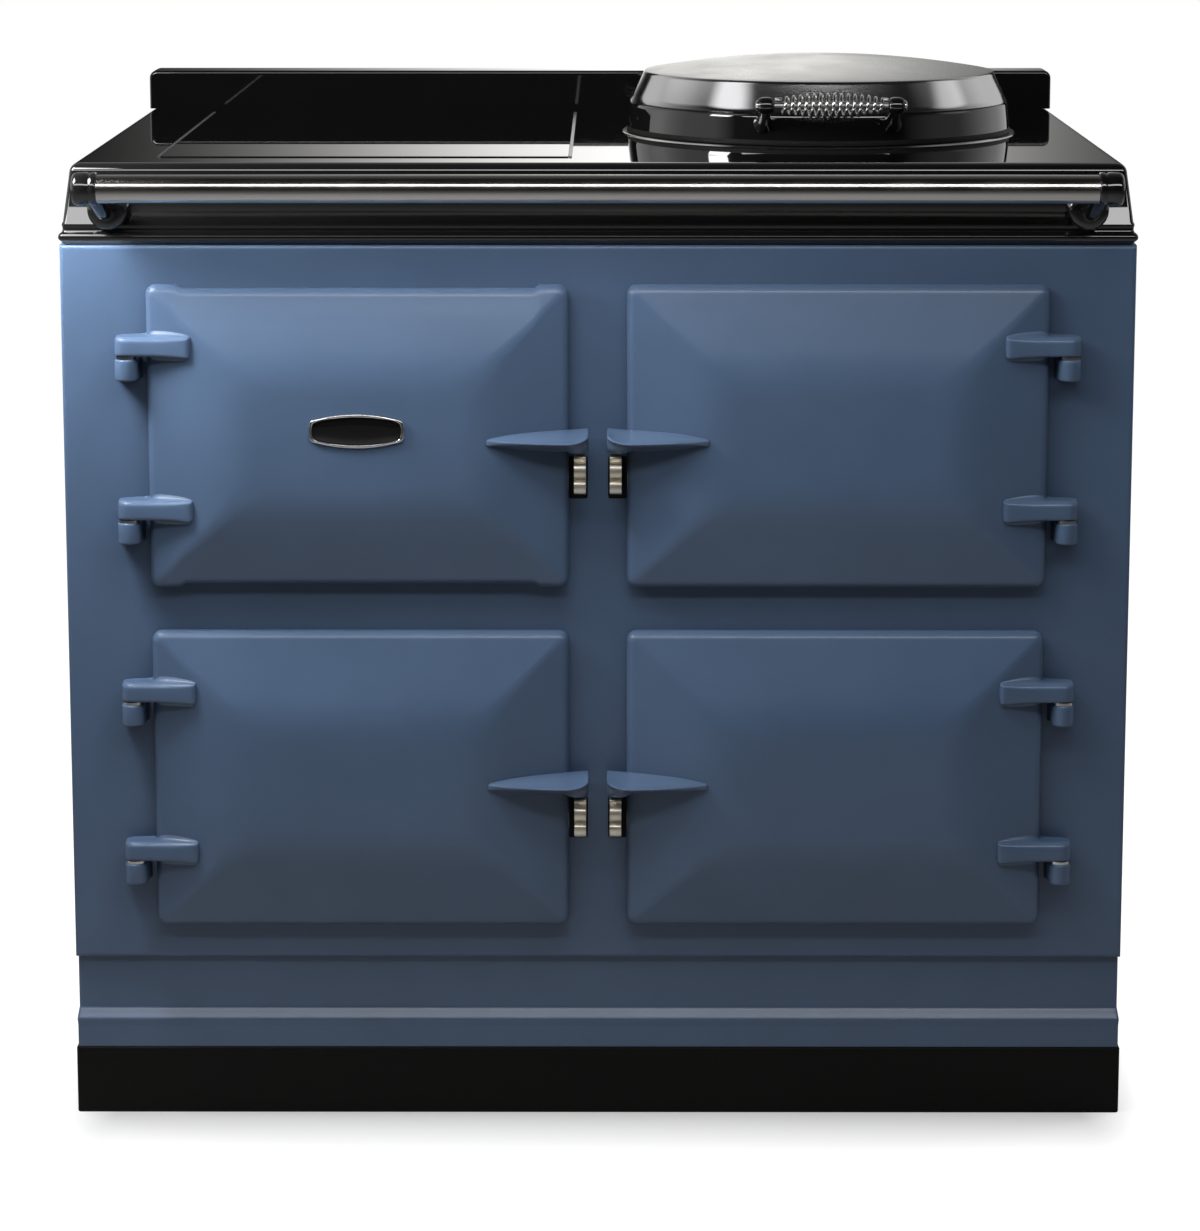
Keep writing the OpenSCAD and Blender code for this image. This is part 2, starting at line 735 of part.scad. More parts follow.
// A liner with a ledge on each side for the shelf, and holes for the element's tails
module oven_liner(place) placed() translate([place[0] * door_x, 0, place[1]]) {
    difference() {
        liner_shell(oven_d);
        for (x = [-element_x, element_x]) translate([x, 0, cavity_h / 2 - element_drop])
            bar_y(element_r + slip, casting_t + oven_d - cut, casting_t + oven_d + liner_t + cut);
    }
    for (side = [-1, 1]) {
        x0 = side > 0 ? cavity_w / 2 - ledge : -cavity_w / 2 - 0.5;
        span([x0, casting_t + ledge_front, -shelf_drop - shelf_rod_r - ledge_t],
             [x0 + ledge + 0.5, casting_t + oven_d - ledge_rear, -shelf_drop - shelf_rod_r]);
    }
}
module roasting_oven_liner() color(steel) oven_liner(door_places[0]);
module baking_oven_liner() color(steel) oven_liner(door_places[1]);
module simmering_oven_liner() color(steel) oven_liner(door_places[2]);

// One wire shelf per oven, on the liner's ledges
module oven_shelves() color(steel) placed() for (i = [0 : 2]) {
    half = cavity_w / 2 - shelf_slack;
    y0 = casting_t + shelf_front;
    y1 = casting_t + oven_d - shelf_rear;
    translate([door_places[i][0] * door_x, 0, door_places[i][1] - shelf_drop]) {
        for (side = [-1, 1]) translate([side * (half - shelf_rod_r), 0, 0]) bar_y(shelf_rod_r, y0, y1);
        for (y = [y0 + shelf_rod_r, y1 - shelf_rod_r]) translate([0, y, 0])
            bar_x(shelf_rod_r, -half + shelf_rod_r, half - shelf_rod_r);
        for (b = [1 : shelf_bars]) translate([-half + b * 2 * half / (shelf_bars + 1), 0, 0])
            bar_y(shelf_bar_r, y0 + shelf_rod_r, y1 - shelf_rod_r);
    }
}

// Distance of the heater's bend from the casting, its tails' length, and its wall plates
bend_front = 60;
tail_l = 24;
tail_plate = [28, 2, 20];

// A bent tube heater under the roof of each oven, with a plate on the oven's back wall
module oven_elements() color(dark_steel) placed() for (i = [0 : 2]) {
    y_back = casting_t + oven_d;
    y_bend = casting_t + bend_front + element_x;
    translate([door_places[i][0] * door_x, 0, door_places[i][1] + cavity_h / 2 - element_drop]) {
        for (x = [-element_x, element_x]) translate([x, 0, 0]) bar_y(element_r, y_bend, y_back + tail_l);
        translate([0, y_bend, 0]) rotate_extrude(angle = -180) translate([element_x, 0])
            circle(element_r, $fn = 32);
        for (x = [-element_x, element_x])
            span([x - tail_plate[0] / 2, y_back - tail_plate[1], -tail_plate[2] / 2],
                 [x + tail_plate[0] / 2, y_back, tail_plate[2] / 2]);
    }
}

// The wool's front end behind the casting, its thickness behind an oven, and the air over it
wool_front = 18;
wool_back = 40;
wool_top = 4;

// Mineral wool packed round the ovens
module oven_insulation() color(wool) placed() {
    half = body_half - side_t - slip;
    y0 = casting_t + wool_front;
    y1 = casting_t + oven_d + wool_back;
    difference() {
        span([-half, y0, plinth_h + slip], [half, y1, front_top_z - wool_top]);
        span([-body_half, y0 - cut, 0], [-body_half + skirt_t + slip, y1 + cut, skirt_top_z + slip]);
        span([body_half - skirt_t - slip, y0 - cut, 0], [body_half, y1 + cut, skirt_top_z + slip]);
        for (p = door_places) {
            depth = p == door_places[3] ? compartment_d + wool_back : oven_d + tail_l + 6;
            translate([p[0] * door_x, 0, p[1]]) span(
                [-cavity_w / 2 - liner_t - slip, y0 - cut, -cavity_h / 2 - liner_t - slip],
                [cavity_w / 2 + liner_t + slip, casting_t + depth, cavity_h / 2 + liner_t + slip]);
        }
        for (x = [-foot_x, foot_x], y = foot_ys) translate([x, y, 0])
            bar_z(foot_stud_r + 4, 0, plinth_h + stud_end + 4);
    }
}

// ------------------------------------------------------------------ controls

module control_compartment() color(black) placed() {
    translate([door_places[3][0] * door_x, 0, door_places[3][1]]) liner_shell(compartment_d);
}

knob_xs = [for (i = [-1 : 1]) -door_x + i * knob_pitch];
panel_half_w = cavity_w / 2 - slip;
// Depth of the fold along the control panel's foot
panel_lip = 24;
// Size of a switch body and depth of its shaft hole
switch_w = 40;
switch_d = 30;
shaft_in = 16;

// A folded sheet that stands on the compartment's floor
module control_panel() color(dark_steel) placed() {
    floor_z = panel_z - cavity_h / 2;
    difference() {
        union() {
            span([-door_x - panel_half_w + door_corner_r, panel_y, floor_z],
                 [-door_x + panel_half_w - door_corner_r, panel_y + panel_t, panel_z + cavity_h / 2 - slip]);
            span([-door_x - panel_half_w + door_corner_r, panel_y, floor_z],
                 [-door_x + panel_half_w - door_corner_r, panel_y + panel_lip, floor_z + panel_t]);
        }
        for (x = knob_xs) translate([x, 0, knob_z])
            bar_y(shaft_r + shaft_gap, panel_y - cut, panel_y + panel_t + cut);
    }
}

// The switch and thermostat behind each knob
module switch_bodies() color("#c8c2b4") placed() for (x = knob_xs) {
    translate([x, 0, knob_z]) difference() {
        span([-switch_w / 2, panel_y + panel_t, -switch_w / 2],
             [switch_w / 2, panel_y + panel_t + switch_d, switch_w / 2]);
        bar_y(shaft_r + shaft_gap, panel_y, panel_y + panel_t + shaft_in);
    }
}

// Thickness of a knob's foot, and width of its pointer
knob_foot_t = 5;
pointer_w = 4;

module knob(x) placed() translate([x, 0, knob_z]) {
    bar_y(shaft_r, panel_y - knob_l, panel_y + panel_t + shaft_in - 2);
    bar_y(knob_r, panel_y - knob_foot_t, panel_y - slip);
    bar_y(knob_r * 0.82, panel_y - knob_l, panel_y - knob_foot_t + 1);
    span([-pointer_w / 2, panel_y - knob_l - 1, 0],
         [pointer_w / 2, panel_y - knob_l + 1, knob_r * 0.8]);
}
module left_knob() color(black) knob(knob_xs[0]);
module middle_knob() color(black) knob(knob_xs[1]);
module right_knob() color(black) knob(knob_xs[2]);

terminal_w = 110;
terminal_h = 80;
terminal_d = 46;
terminal_t = 2;

// The mains terminal box on the inside of the back panel
module terminal_box() color(steel) placed() translate([gland_x, 0, gland_z]) difference() {
    span([-terminal_w / 2, body_d - back_t - terminal_d, -terminal_h / 2],
         [terminal_w / 2, body_d - back_t, terminal_h / 2]);
    span([-terminal_w / 2 + terminal_t, body_d - back_t - terminal_d + terminal_t,
          -terminal_h / 2 + terminal_t],
         [terminal_w / 2 - terminal_t, body_d - back_t + cut, terminal_h / 2 - terminal_t]);
}

gland_collar = 5;
gland_collar_t = 8;

// The cable gland: a collar inside the terminal box and a bored tube out to the wall
module cable_gland() color(black) placed() translate([gland_x, 0, gland_z]) difference() {
    union() {
        bar_y(gland_r, body_d - gland_l, body_d);
        bar_y(gland_r + gland_collar, body_d - back_t - gland_collar_t, body_d - back_t);
    }
    bar_y(gland_bore_r, body_d - gland_l - cut, body_d + cut);
}

// ------------------------------------------------------------------ doors

// The outline of a door across one span: a thin rim, then slopes up to a flat middle
function hip_outline(w, inset, rim, rise) = [
    [-w / 2, 0], [w / 2, 0], [w / 2, -rim], [w / 2 - inset, -rim - rise],
    [inset - w / 2, -rim - rise], [-w / 2, -rim]];

// A hipped plate with its back at y = 0 and its flat middle in front
module hipped_plate(w, h, inset_w, inset_h, rim, rise, r) {
    intersection() {
        linear_extrude(h, center = true) polygon(hip_outline(w, inset_w, rim, rise));
        rotate([0, -90, 0]) linear_extrude(w, center = true)
            polygon([for (p = hip_outline(h, inset_h, rim, rise)) p]);
        along_y(-rim - rise - cut, cut) round_rect(w, h, r);
    }
}

arm_tops = [arm_high, -arm_low];
handle_top = 9;
handle_end_drop = 13;
// How far the handle's wing stands out in front of the door's flat middle
wing_out = 12;

// One hinge arm in plan: a barrel on the pin and a web that runs into the door's slope
module arm_outline() {
    translate([-pin_x, -hinge_y]) circle(barrel_r);
    polygon([[-pin_x, -hinge_y - barrel_r], [-pin_x + arm_web, -hinge_y - barrel_r],
        [-pin_x + arm_web, -door_back - 4], [-pin_x + hinge_out + 4, -door_back - 4],
        [-pin_x, -hinge_y + barrel_r]]);
}

// The handle: a wing that slopes down to its front edge, with a blunt end past the door
module handle() {
    edge = door_w / 2;
    tip = edge - handle_on;
    end = edge + handle_out;
    wing_y = -door_front - wing_out;
    intersection() {
        linear_extrude(60, center = true) polygon([[tip, -door_front + 6], [tip, -door_front - 1],
            [edge - 20, wing_y], [end - 9, wing_y], [end, wing_y + 9], [end, -door_back - 9],
            [edge - 10, -door_back - 9], [edge - 40, -door_back - 14]]);
        along_x(tip, end) polygon([[-door_back - 8, handle_top], [wing_y, 1], [wing_y, -3],
            [-door_front + 4, -9], [-door_back - 8, -handle_end_drop]]);
    }
    intersection() {
        linear_extrude(60, center = true) polygon([[edge + 1, wing_y + 7], [end - 4, wing_y + 7],
            [end, wing_y + 11], [end, -door_back - 9], [edge + 1, -door_back - 9]]);
        along_x(edge + 1, end) polygon([[-door_back - 9, handle_top - 1], [wing_y + 5, 1],
            [wing_y + 5, -handle_end_drop], [-door_back - 9, -handle_end_drop]]);
    }
}

// A door as it hangs on the left of the cooker, about its own middle
module door_casting() difference() {
    union() {
        difference() {
            union() {
                translate([0, -door_back, 0])
                    hipped_plate(door_w, door_h, hip_w, hip_h, door_rim, door_rise, door_corner_r);
                for (top = arm_tops) translate([0, 0, top - arm_h])
                    linear_extrude(arm_h) arm_outline();
                handle();
            }
            translate([0, -door_back + cut, 0]) hipped_plate(opening_w, opening_h,
                hip_w, hip_h, door_rim - door_wall + cut, door_rise - 1, door_corner_r);
        }
        for (sx = [-1, 1], sz = [-1, 1])
            translate([sx * (pan_w / 2 - boss_inset), 0, sz * (pan_h / 2 - boss_inset)])
                bar_y(boss_r, -pan_flange_y - door_wall, -pan_flange_y);
    }
    for (top = arm_tops) translate([-pin_x, -hinge_y, top - arm_h])
        bar_z(pin_r + pin_gap, -cut, arm_bore);
}

// The enamelled steel pan on the inside of a door
module door_pan() {
    flange_w = opening_w - 2 * slip;
    flange_h = opening_h - 2 * slip;
    difference() {
        union() {
            along_y(-pan_flange_y, pan_depth) round_rect(pan_w, pan_h, door_corner_r);
            along_y(-pan_flange_y, -pan_flange_y + pan_t) round_rect(flange_w, flange_h, door_corner_r);
        }
        along_y(-pan_flange_y - cut, pan_depth - pan_t)
            round_rect(pan_w - 2 * pan_t, pan_h - 2 * pan_t, door_corner_r - pan_t);
    }
}

// The slab of mineral board that fills a pan
module door_insulation() {
    along_y(-pan_flange_y + pan_t, pan_depth - pan_t)
        round_rect(pan_w - 2 * pan_t - 2 * slip, pan_h - 2 * pan_t - 2 * slip, door_corner_r - pan_t);
}

// Puts a door's piece at its place, mirrored on the right-hand side
module at_door(place) placed() translate([place[0] * door_x, 0, place[1]])
    scale([-place[0], 1, 1]) children();

module roasting_door() color(blue) at_door(door_places[0]) door_casting();
module roasting_door_pan() color(steel) at_door(door_places[0]) door_pan();
module roasting_door_insulation() color(wool) at_door(door_places[0]) door_insulation();
module baking_door() color(blue) at_door(door_places[1]) door_casting();
module baking_door_pan() color(steel) at_door(door_places[1]) door_pan();
module baking_door_insulation() color(wool) at_door(door_places[1]) door_insulation();
module simmering_door() color(blue) at_door(door_places[2]) door_casting();
module simmering_door_pan() color(steel) at_door(door_places[2]) door_pan();
module simmering_door_insulation() color(wool) at_door(door_places[2]) door_insulation();

// The control door's top and bottom edges are cut back a little, to let warm air out
vent_cut = 3.5;
vent_corner = 28;
module control_door() color(blue) at_door(door_places[3]) difference() {
    door_casting();
    for (side = [-1, 1]) translate([0, 0, side * (door_h - vent_cut + cut) / 2]) cube(
        [door_w - 2 * vent_corner, 4 * hinge_y, vent_cut + cut], center = true);
}
module control_door_pan() color(steel) at_door(door_places[3]) door_pan();

// Size of the badge plate, and its height above the door's middle
badge_w = 88;
badge_h = 32;
badge_t = 3;
badge_up = 10;

// A bare oval plate on the control door
module badge_plate() color(chrome) placed() {
    translate([door_places[3][0] * door_x, 0, door_places[3][1] + badge_up])
        along_y(-door_front - badge_t, -door_front) round_rect(badge_w, badge_h, badge_h / 2 - 0.1);
}

// ------------------------------------------------------------------ lid

// Inset of the dome's foot from the skirt's, and of its shoulder, and the shoulder's height
seam_in = 3;
shoulder_in = 7;
shoulder_h = 6;
lid_top_r = lid_r - lid_top_in;
lid_shoulder_r = lid_r - shoulder_in;
lid_seam_r = lid_r - seam_in;
lid_seam_z = lid_skirt_z;
// The edge between bevel and crown is rounded off by a short slope
brow_w = 3;
brow_h = 2.5;
crown_n = 12;
// The crown is part of a large sphere through the bevel's top edge and the apex
crown_r = (lid_top_r * lid_top_r + lid_crown_h * lid_crown_h) / (2 * lid_crown_h);
crown_a = asin(lid_top_r / crown_r);
function crown(r_out, z_top, drop) = [for (i = [0 : crown_n]) let (a = crown_a * i / crown_n)
    [(r_out * sin(a)) * (crown_r - drop) / crown_r, z_top - crown_r + (crown_r - drop) * cos(a)]];

module at_lid() placed() translate([lid_x, lid_y, 0]) children();

module lid_dome() color(chrome) at_lid() rotate_extrude() polygon(concat(
    crown(crown_r, lid_apex_z, 0),
    [[lid_top_r + brow_w, lid_bevel_z - brow_h], [lid_shoulder_r, lid_seam_z + shoulder_h],
     [lid_seam_r, lid_seam_z], [lid_seam_r - lid_t, lid_seam_z],
     [lid_shoulder_r - lid_t, lid_seam_z + shoulder_h - 1],
     [lid_top_r + brow_w - lid_t, lid_bevel_z - brow_h - lid_t]],
    [for (i = [crown_n : -1 : 0]) crown(crown_r - lid_t, lid_apex_z, lid_t)[i]]));

lid_skirt_t = 12;

// The whole lid, filled, which the hinge arm and the grip posts are cut back to
module lid_envelope() rotate_extrude() polygon([[0, lid_base_z], [lid_r - 1, lid_base_z],
    [lid_r + snug, lid_base_z + 2], [lid_seam_r + snug, lid_seam_z],
    [lid_shoulder_r + snug, lid_seam_z + shoulder_h],
    [lid_top_r + brow_w, lid_bevel_z - brow_h], [0, lid_bevel_z - brow_h]]);

module lid_skirt() color(black) at_lid() rotate_extrude() polygon([
    [lid_r - lid_skirt_t, lid_base_z], [lid_r - 1, lid_base_z], [lid_r, lid_base_z + 2],
    [lid_seam_r, lid_seam_z], [lid_r - lid_skirt_t, lid_seam_z]]);

liner_lift = 3;
liner_sheet = 2;

// The bright pan under the lid, with a turned-up rim inside the skirt
module lid_liner() color(chrome) at_lid() {
    r = lid_r - lid_skirt_t - slip;
    difference() {
        bar_z(r, lid_base_z + liner_lift, lid_seam_z);
        bar_z(r - liner_sheet, lid_base_z + liner_lift + liner_sheet, lid_seam_z + cut);
    }
}

module lid_insulation() color(wool) at_lid() {
    r = lid_r - lid_skirt_t - liner_sheet - 2 * slip;
    low = lid_base_z + liner_lift + liner_sheet;
    high = lid_bevel_z - 12;
    rotate_extrude() polygon([[0, low], [r, low], [r, lid_seam_z], [lid_top_r, high], [0, high]]);
}

// The arm behind the lid, with its barrel between the bracket's ears
module lid_hinge_arm() color(black) at_lid() {
    half = ear_x - ear_w / 2 - 1;
    axis_y = lid_r + lid_hinge_out;
    difference() {
        union() {
            span([-half, 0, hob_h + lid_hinge_z - 9], [half, axis_y, hob_h + lid_hinge_z + 4]);
            translate([0, axis_y, hob_h + lid_hinge_z]) bar_x(lid_barrel_r - 1, -half, half);
        }
        lid_envelope();
        translate([0, axis_y, hob_h + lid_hinge_z]) bar_x(lid_pin_r + snug, -body_half, body_half);
    }
}

module lid_hinge_pin() color(steel) at_lid() {
    half = ear_x + ear_w / 2 + 3;
    translate([0, lid_r + lid_hinge_out, hob_h + lid_hinge_z]) bar_x(lid_pin_r, -half, half);
}

grip_y = -lid_r - grip_out;
post_x = grip_span / 2;
// Height at which the posts enter the black skirt
post_root_z = lid_skirt_h - 10;
post_rise = grip_z - post_root_z;
// The posts meet the round skirt beside its foremost point
post_run = lid_r + grip_out - sqrt(lid_r * lid_r - post_x * post_x);
// The coil runs between the posts' inner faces
coil_half = post_x - post_r - slip;
wire_lead = 2 * wire_r;
coil_run = coil_half - wire_lead - wire_r;

// Two black posts that lean forward and up from the skirt to the rod
module grip_posts() color(black) at_lid() {
    lean = atan2(post_rise, post_run);
    reach = sqrt(post_run * post_run + post_rise * post_rise);
    for (side = [-1, 1]) difference() {
        union() {
            translate([side * post_x, grip_y, hob_h + grip_z]) {
                bar_x(post_r, -post_r, post_r);
                rotate([-lean, 0, 0]) bar_y(post_r - 1, 0, reach + post_r);
            }
        }
        lid_envelope();
        translate([side * post_x, grip_y, hob_h + grip_z]) bar_x(rod_r + snug, -post_r - cut, post_r + cut);
    }
}

module grip_rod() color(steel) at_lid() {
    translate([0, grip_y, hob_h + grip_z]) bar_x(rod_r, -post_x - post_r - 2, post_x + post_r + 2);
}

// Curls of one wire round the rod, fuller in the middle, with straight ends along the rod
coil_rings = 8;
wire_sides = 6;
coil_steps = coil_turns * coil_rings;
function swell(t) = coil_end_r + (coil_mid_r - coil_end_r) * pow(sin(180 * t), 0.7);
function curl_point(i) = let (t = i / coil_steps, a = 360 * i / coil_rings)
    [-coil_run + 2 * coil_run * t, swell(t) * sin(a), swell(t) * cos(a)];
coil_path = concat(
    [[-coil_half, 0, coil_end_r], [-coil_half + wire_lead, 0, coil_end_r]],
    [for (i = [1 : coil_steps - 1]) curl_point(i)],
    [[coil_half - wire_lead, 0, coil_end_r], [coil_half, 0, coil_end_r]]);
function unit(v) = v / norm(v);
function path_dir(i) = unit(coil_path[min(i + 1, len(coil_path) - 1)] - coil_path[max(i - 1, 0)]);
function end_dir(i) = i < 1 || i > len(coil_path) - 2 ? [1, 0, 0] : path_dir(i);
// Each ring of the wire is set out from the rod's axis, so that the wire doesn't twist
function ring_out(i) = let (p = coil_path[i], d = end_dir(i), o = [0, p[1], p[2]])
    unit(o - (o * d) * d);
function ring_points(i) = let (o = ring_out(i), s = cross(end_dir(i), o))
    [for (k = [0 : wire_sides - 1]) coil_path[i]
        + wire_r * (cos(360 * k / wire_sides) * o + sin(360 * k / wire_sides) * s)];
function coil_faces(n) = concat(
    [[for (k = [0 : wire_sides - 1]) k]],
    [[for (k = [wire_sides - 1 : -1 : 0]) (n - 1) * wire_sides + k]],
    [for (i = [0 : n - 2], k = [0 : wire_sides - 1]) let (m = (k + 1) % wire_sides)
        [i * wire_sides + k, (i + 1) * wire_sides + k, (i + 1) * wire_sides + m]],
    [for (i = [0 : n - 2], k = [0 : wire_sides - 1]) let (m = (k + 1) % wire_sides)
        [i * wire_sides + k, (i + 1) * wire_sides + m, i * wire_sides + m]]);
// Least gap between the wire's surfaces, from points more than half a curl apart
coil_gap = min([for (i = [0 : len(coil_path) - 1], j = [i + coil_rings / 2 : i + 2 * coil_rings])
    if (j < len(coil_path)) norm(coil_path[i] - coil_path[j])]) - 2 * wire_r;
echo(coil_gap = coil_gap);

module grip_coil() color(chrome) at_lid() translate([0, grip_y, hob_h + grip_z]) {
    points = [for (i = [0 : len(coil_path) - 1]) each ring_points(i)];
    polyhedron(points = points, faces = coil_faces(len(coil_path)), convexity = 20);
}

// ------------------------------------------------------------------ nodes

plinth();
levelling_feet();
base_tray();
skirt_moulding();
front_casting();
hinge_lugs();
hinge_pins();
catches();
door_seals();
left_side_panel();
right_side_panel();
back_panel();
top_casting();
upstand();
hob_glass();
glass_trim();
induction_tray();
induction_coils();
hotplate();
hotplate_ring();
hotplate_element();
handrail();
rail_brackets();
roasting_oven_liner();
baking_oven_liner();
simmering_oven_liner();
oven_shelves();
oven_elements();
oven_insulation();
control_compartment();
control_panel();
switch_bodies();
terminal_box();
cable_gland();
lid_hinge_bracket();
roasting_door();
roasting_door_pan();
roasting_door_insulation();
baking_door();
baking_door_pan();
baking_door_insulation();
simmering_door();
simmering_door_pan();
simmering_door_insulation();
control_door();
control_door_pan();
badge_plate();
left_knob();
middle_knob();
right_knob();
lid_dome();
lid_skirt();
lid_liner();
lid_insulation();
lid_hinge_arm();
lid_hinge_pin();
grip_posts();
grip_rod();
grip_coil();
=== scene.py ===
"""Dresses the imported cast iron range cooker: castings, hob, lid, rail, ovens and their finishes.

Metres throughout. A door's pieces are shaped about the door's own middle, and "proud" is a
distance in front of the front casting's face, so it counts along -Y.
"""

import json
import math

import bmesh
import bpy
from bpy.props import FloatProperty, FloatVectorProperty, IntProperty, PointerProperty
from mathutils import Matrix, Vector


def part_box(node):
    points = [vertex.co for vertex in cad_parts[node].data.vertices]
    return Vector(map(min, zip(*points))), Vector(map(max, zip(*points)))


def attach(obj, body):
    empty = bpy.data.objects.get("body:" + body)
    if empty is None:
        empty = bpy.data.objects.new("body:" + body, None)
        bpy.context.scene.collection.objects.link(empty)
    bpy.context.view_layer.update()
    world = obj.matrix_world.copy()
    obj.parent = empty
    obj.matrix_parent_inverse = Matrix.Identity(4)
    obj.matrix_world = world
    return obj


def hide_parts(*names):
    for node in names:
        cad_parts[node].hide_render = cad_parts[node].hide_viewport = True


bl_info = {
    "name": "Cast Iron Range Cooker",
    "version": (1, 0, 0),
    "blender": (4, 5, 0),
    "location": "3D View > Sidebar > Cooker",
    "description": "Dresses the packed range cooker with its castings, hob, lid and finishes",
    "category": "Object",
}

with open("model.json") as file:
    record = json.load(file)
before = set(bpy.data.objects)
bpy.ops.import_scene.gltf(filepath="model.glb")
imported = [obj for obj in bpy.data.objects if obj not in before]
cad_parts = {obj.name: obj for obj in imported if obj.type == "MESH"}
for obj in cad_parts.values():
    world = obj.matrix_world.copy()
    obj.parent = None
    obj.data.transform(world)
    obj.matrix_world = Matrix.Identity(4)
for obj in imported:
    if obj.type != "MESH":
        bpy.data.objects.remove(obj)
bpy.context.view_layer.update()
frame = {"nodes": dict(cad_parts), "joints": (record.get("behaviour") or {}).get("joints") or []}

MM = 0.001
PI = math.pi
QUARTER = PI / 2

# ---------------------------------------------------------------- places from the frame

CASTING_LOW, CASTING_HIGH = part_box("front_casting")
FACE_Y = CASTING_LOW.y
BODY_HALF = CASTING_HIGH.x
SKIRT_TOP_Z = CASTING_LOW.z
HOB_LOW_Z = CASTING_HIGH.z
HOB_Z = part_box("upstand")[0].z
BACK_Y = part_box("top_casting")[1].y
JOINTS = {joint["name"]: joint for joint in frame["joints"]}

# Door name: its body, its hinge and the side it hangs on (-1 left, 1 right)
DOORS = {
    "control_door": ("upper_left_door", "upper_left_door_hinge", -1),
    "roasting_door": ("upper_right_door", "upper_right_door_hinge", 1),
    "simmering_door": ("lower_left_door", "lower_left_door_hinge", -1),
    "baking_door": ("lower_right_door", "lower_right_door_hinge", 1),
}


def pivot(joint):
    """The point that a joint turns about."""
    return Vector(JOINTS[joint]["pos_m"])


# ---------------------------------------------------------------- sizes a user would change


def size(name, description, default):
    """A length in metres with its label."""
    return FloatProperty(name=name, description=description, default=default, unit="LENGTH",
                         precision=4, min=0.0)


def colour(name, description, default):
    """A colour with its label."""
    return FloatVectorProperty(name=name, description=description, default=default,
                               subtype="COLOR", size=3, min=0.0, max=1.0)


class DoorSizes(bpy.types.PropertyGroup):
    """Shape of the four cast doors."""
    width: size("Width", "Width of a door", 0.390)
    height: size("Height", "Height of a door", 0.284)
    hinge_out: size("Hinge distance", "Hinge axis outside the door's edge", 0.018)
    back: size("Back", "Gap between a closed door and the casting's face", 0.0033)
    rim: size("Rim", "Thickness of the door at its rim", 0.013)
    rise: size("Rise", "How far the flat middle stands in front of the rim", 0.024)
    hip: size("Slope width", "Width of the sloping border", 0.0795)
    edge: size("Edge rounding", "Radius of the rim's front edge", 0.009)
    corner: size("Corner", "Corner radius of the door's outline", 0.009)
    soft: size("Softness", "Half width of the blend into the flat middle", 0.020)
    opening_width: size("Opening width", "Width of the opening behind the door", 0.330)
    opening_height: size("Opening height", "Height of the opening behind the door", 0.224)


class ArmSizes(bpy.types.PropertyGroup):
    """Shape of the door handles, hinge arms and hinge lugs."""
    arm_height: size("Arm height", "Height of a hinge arm", 0.0185)
    arm_high: size("Upper arm", "Upper arm's top above the door's middle", 0.0955)
    arm_low: size("Lower arm", "Lower arm's top below the door's middle", 0.0575)
    barrel: size("Barrel", "Radius of the hinge barrel", 0.011)
    axis_out: size("Axis", "Hinge axis in front of the casting", 0.020)
    lug_height: size("Lug height", "Height of a fixed lug", 0.020)
    handle_reach: size("Handle end", "Handle's end past the door's edge", 0.019)


class HobSizes(bpy.types.PropertyGroup):
    """Shape of the hob casting, its moulded edge and the upstand."""
    width: size("Width", "Width of the hob surface", 0.973)
    roll: size("Edge roll", "Radius of the rolled front edge", 0.009)
    bead: size("Bead", "Radius of the bead along the bottom", 0.0045)
    plan_corner: size("Corner", "Radius of the hob's corners seen from above", 0.004)
    wall: size("Wall", "Thickness of the casting", 0.006)
    upstand_corner: size("Upstand corner", "Radius of the upstand's top corners", 0.008)


class LidSizes(bpy.types.PropertyGroup):
    """Shape of the hinged lid and its coil grip."""
    radius: size("Radius", "Radius of the lid at its foot", 0.193)
    skirt: size("Skirt height", "Top of the black skirt above the hob", 0.032)
    bevel: size("Bevel height", "Height of the bright bevel above the skirt", 0.030)
    crown: size("Crown", "Height of the domed top above the bevel", 0.015)
    top_in: size("Top inset", "Inset of the top from the foot", 0.0195)
    coil_turns: IntProperty(name="Curls", description="Curls in the coil grip", default=15, min=6, max=17)
    coil_wire: size("Wire", "Radius of the coil's wire", 0.0017)
    coil_middle: size("Coil middle", "Radius of the curls half way along", 0.0105)
    coil_end: size("Coil end", "Radius of the curls at the ends", 0.006)


class RailSizes(bpy.types.PropertyGroup):
    """Shape of the handrail and its brackets."""
    radius: size("Radius", "Radius of the rail", 0.0132)
    cap: size("Cup", "Radius of the bracket's cup", 0.0155)
    cup_length: size("Cup length", "Length of the bracket's cup", 0.022)
    foot: size("Foot", "Radius of the bracket's foot", 0.015)


class Finishes(bpy.types.PropertyGroup):
    """Colours of the finishes, as linear light."""
    blue: colour("Blue enamel", "Enamel of the doors and body", (0.065, 0.105, 0.179))
    black: colour("Black enamel", "Enamel of the hob and skirt", (0.004, 0.004, 0.0042))
    plinth: colour("Plinth", "Paint of the plinth", (0.0032, 0.0026, 0.0021))
    chrome: colour("Chrome", "Polished chrome", (0.80, 0.80, 0.79))
    lid: colour("Lid top", "Satin metal of the lid's top", (0.82, 0.82, 0.80))
    nickel: colour("Nickel", "Satin nickel", (0.86, 0.80, 0.68))
    rail: colour("Rail", "Brushed rail tube", (0.62, 0.60, 0.57))
    steel: colour("Steel", "Brushed sheet steel", (0.46, 0.46, 0.47))


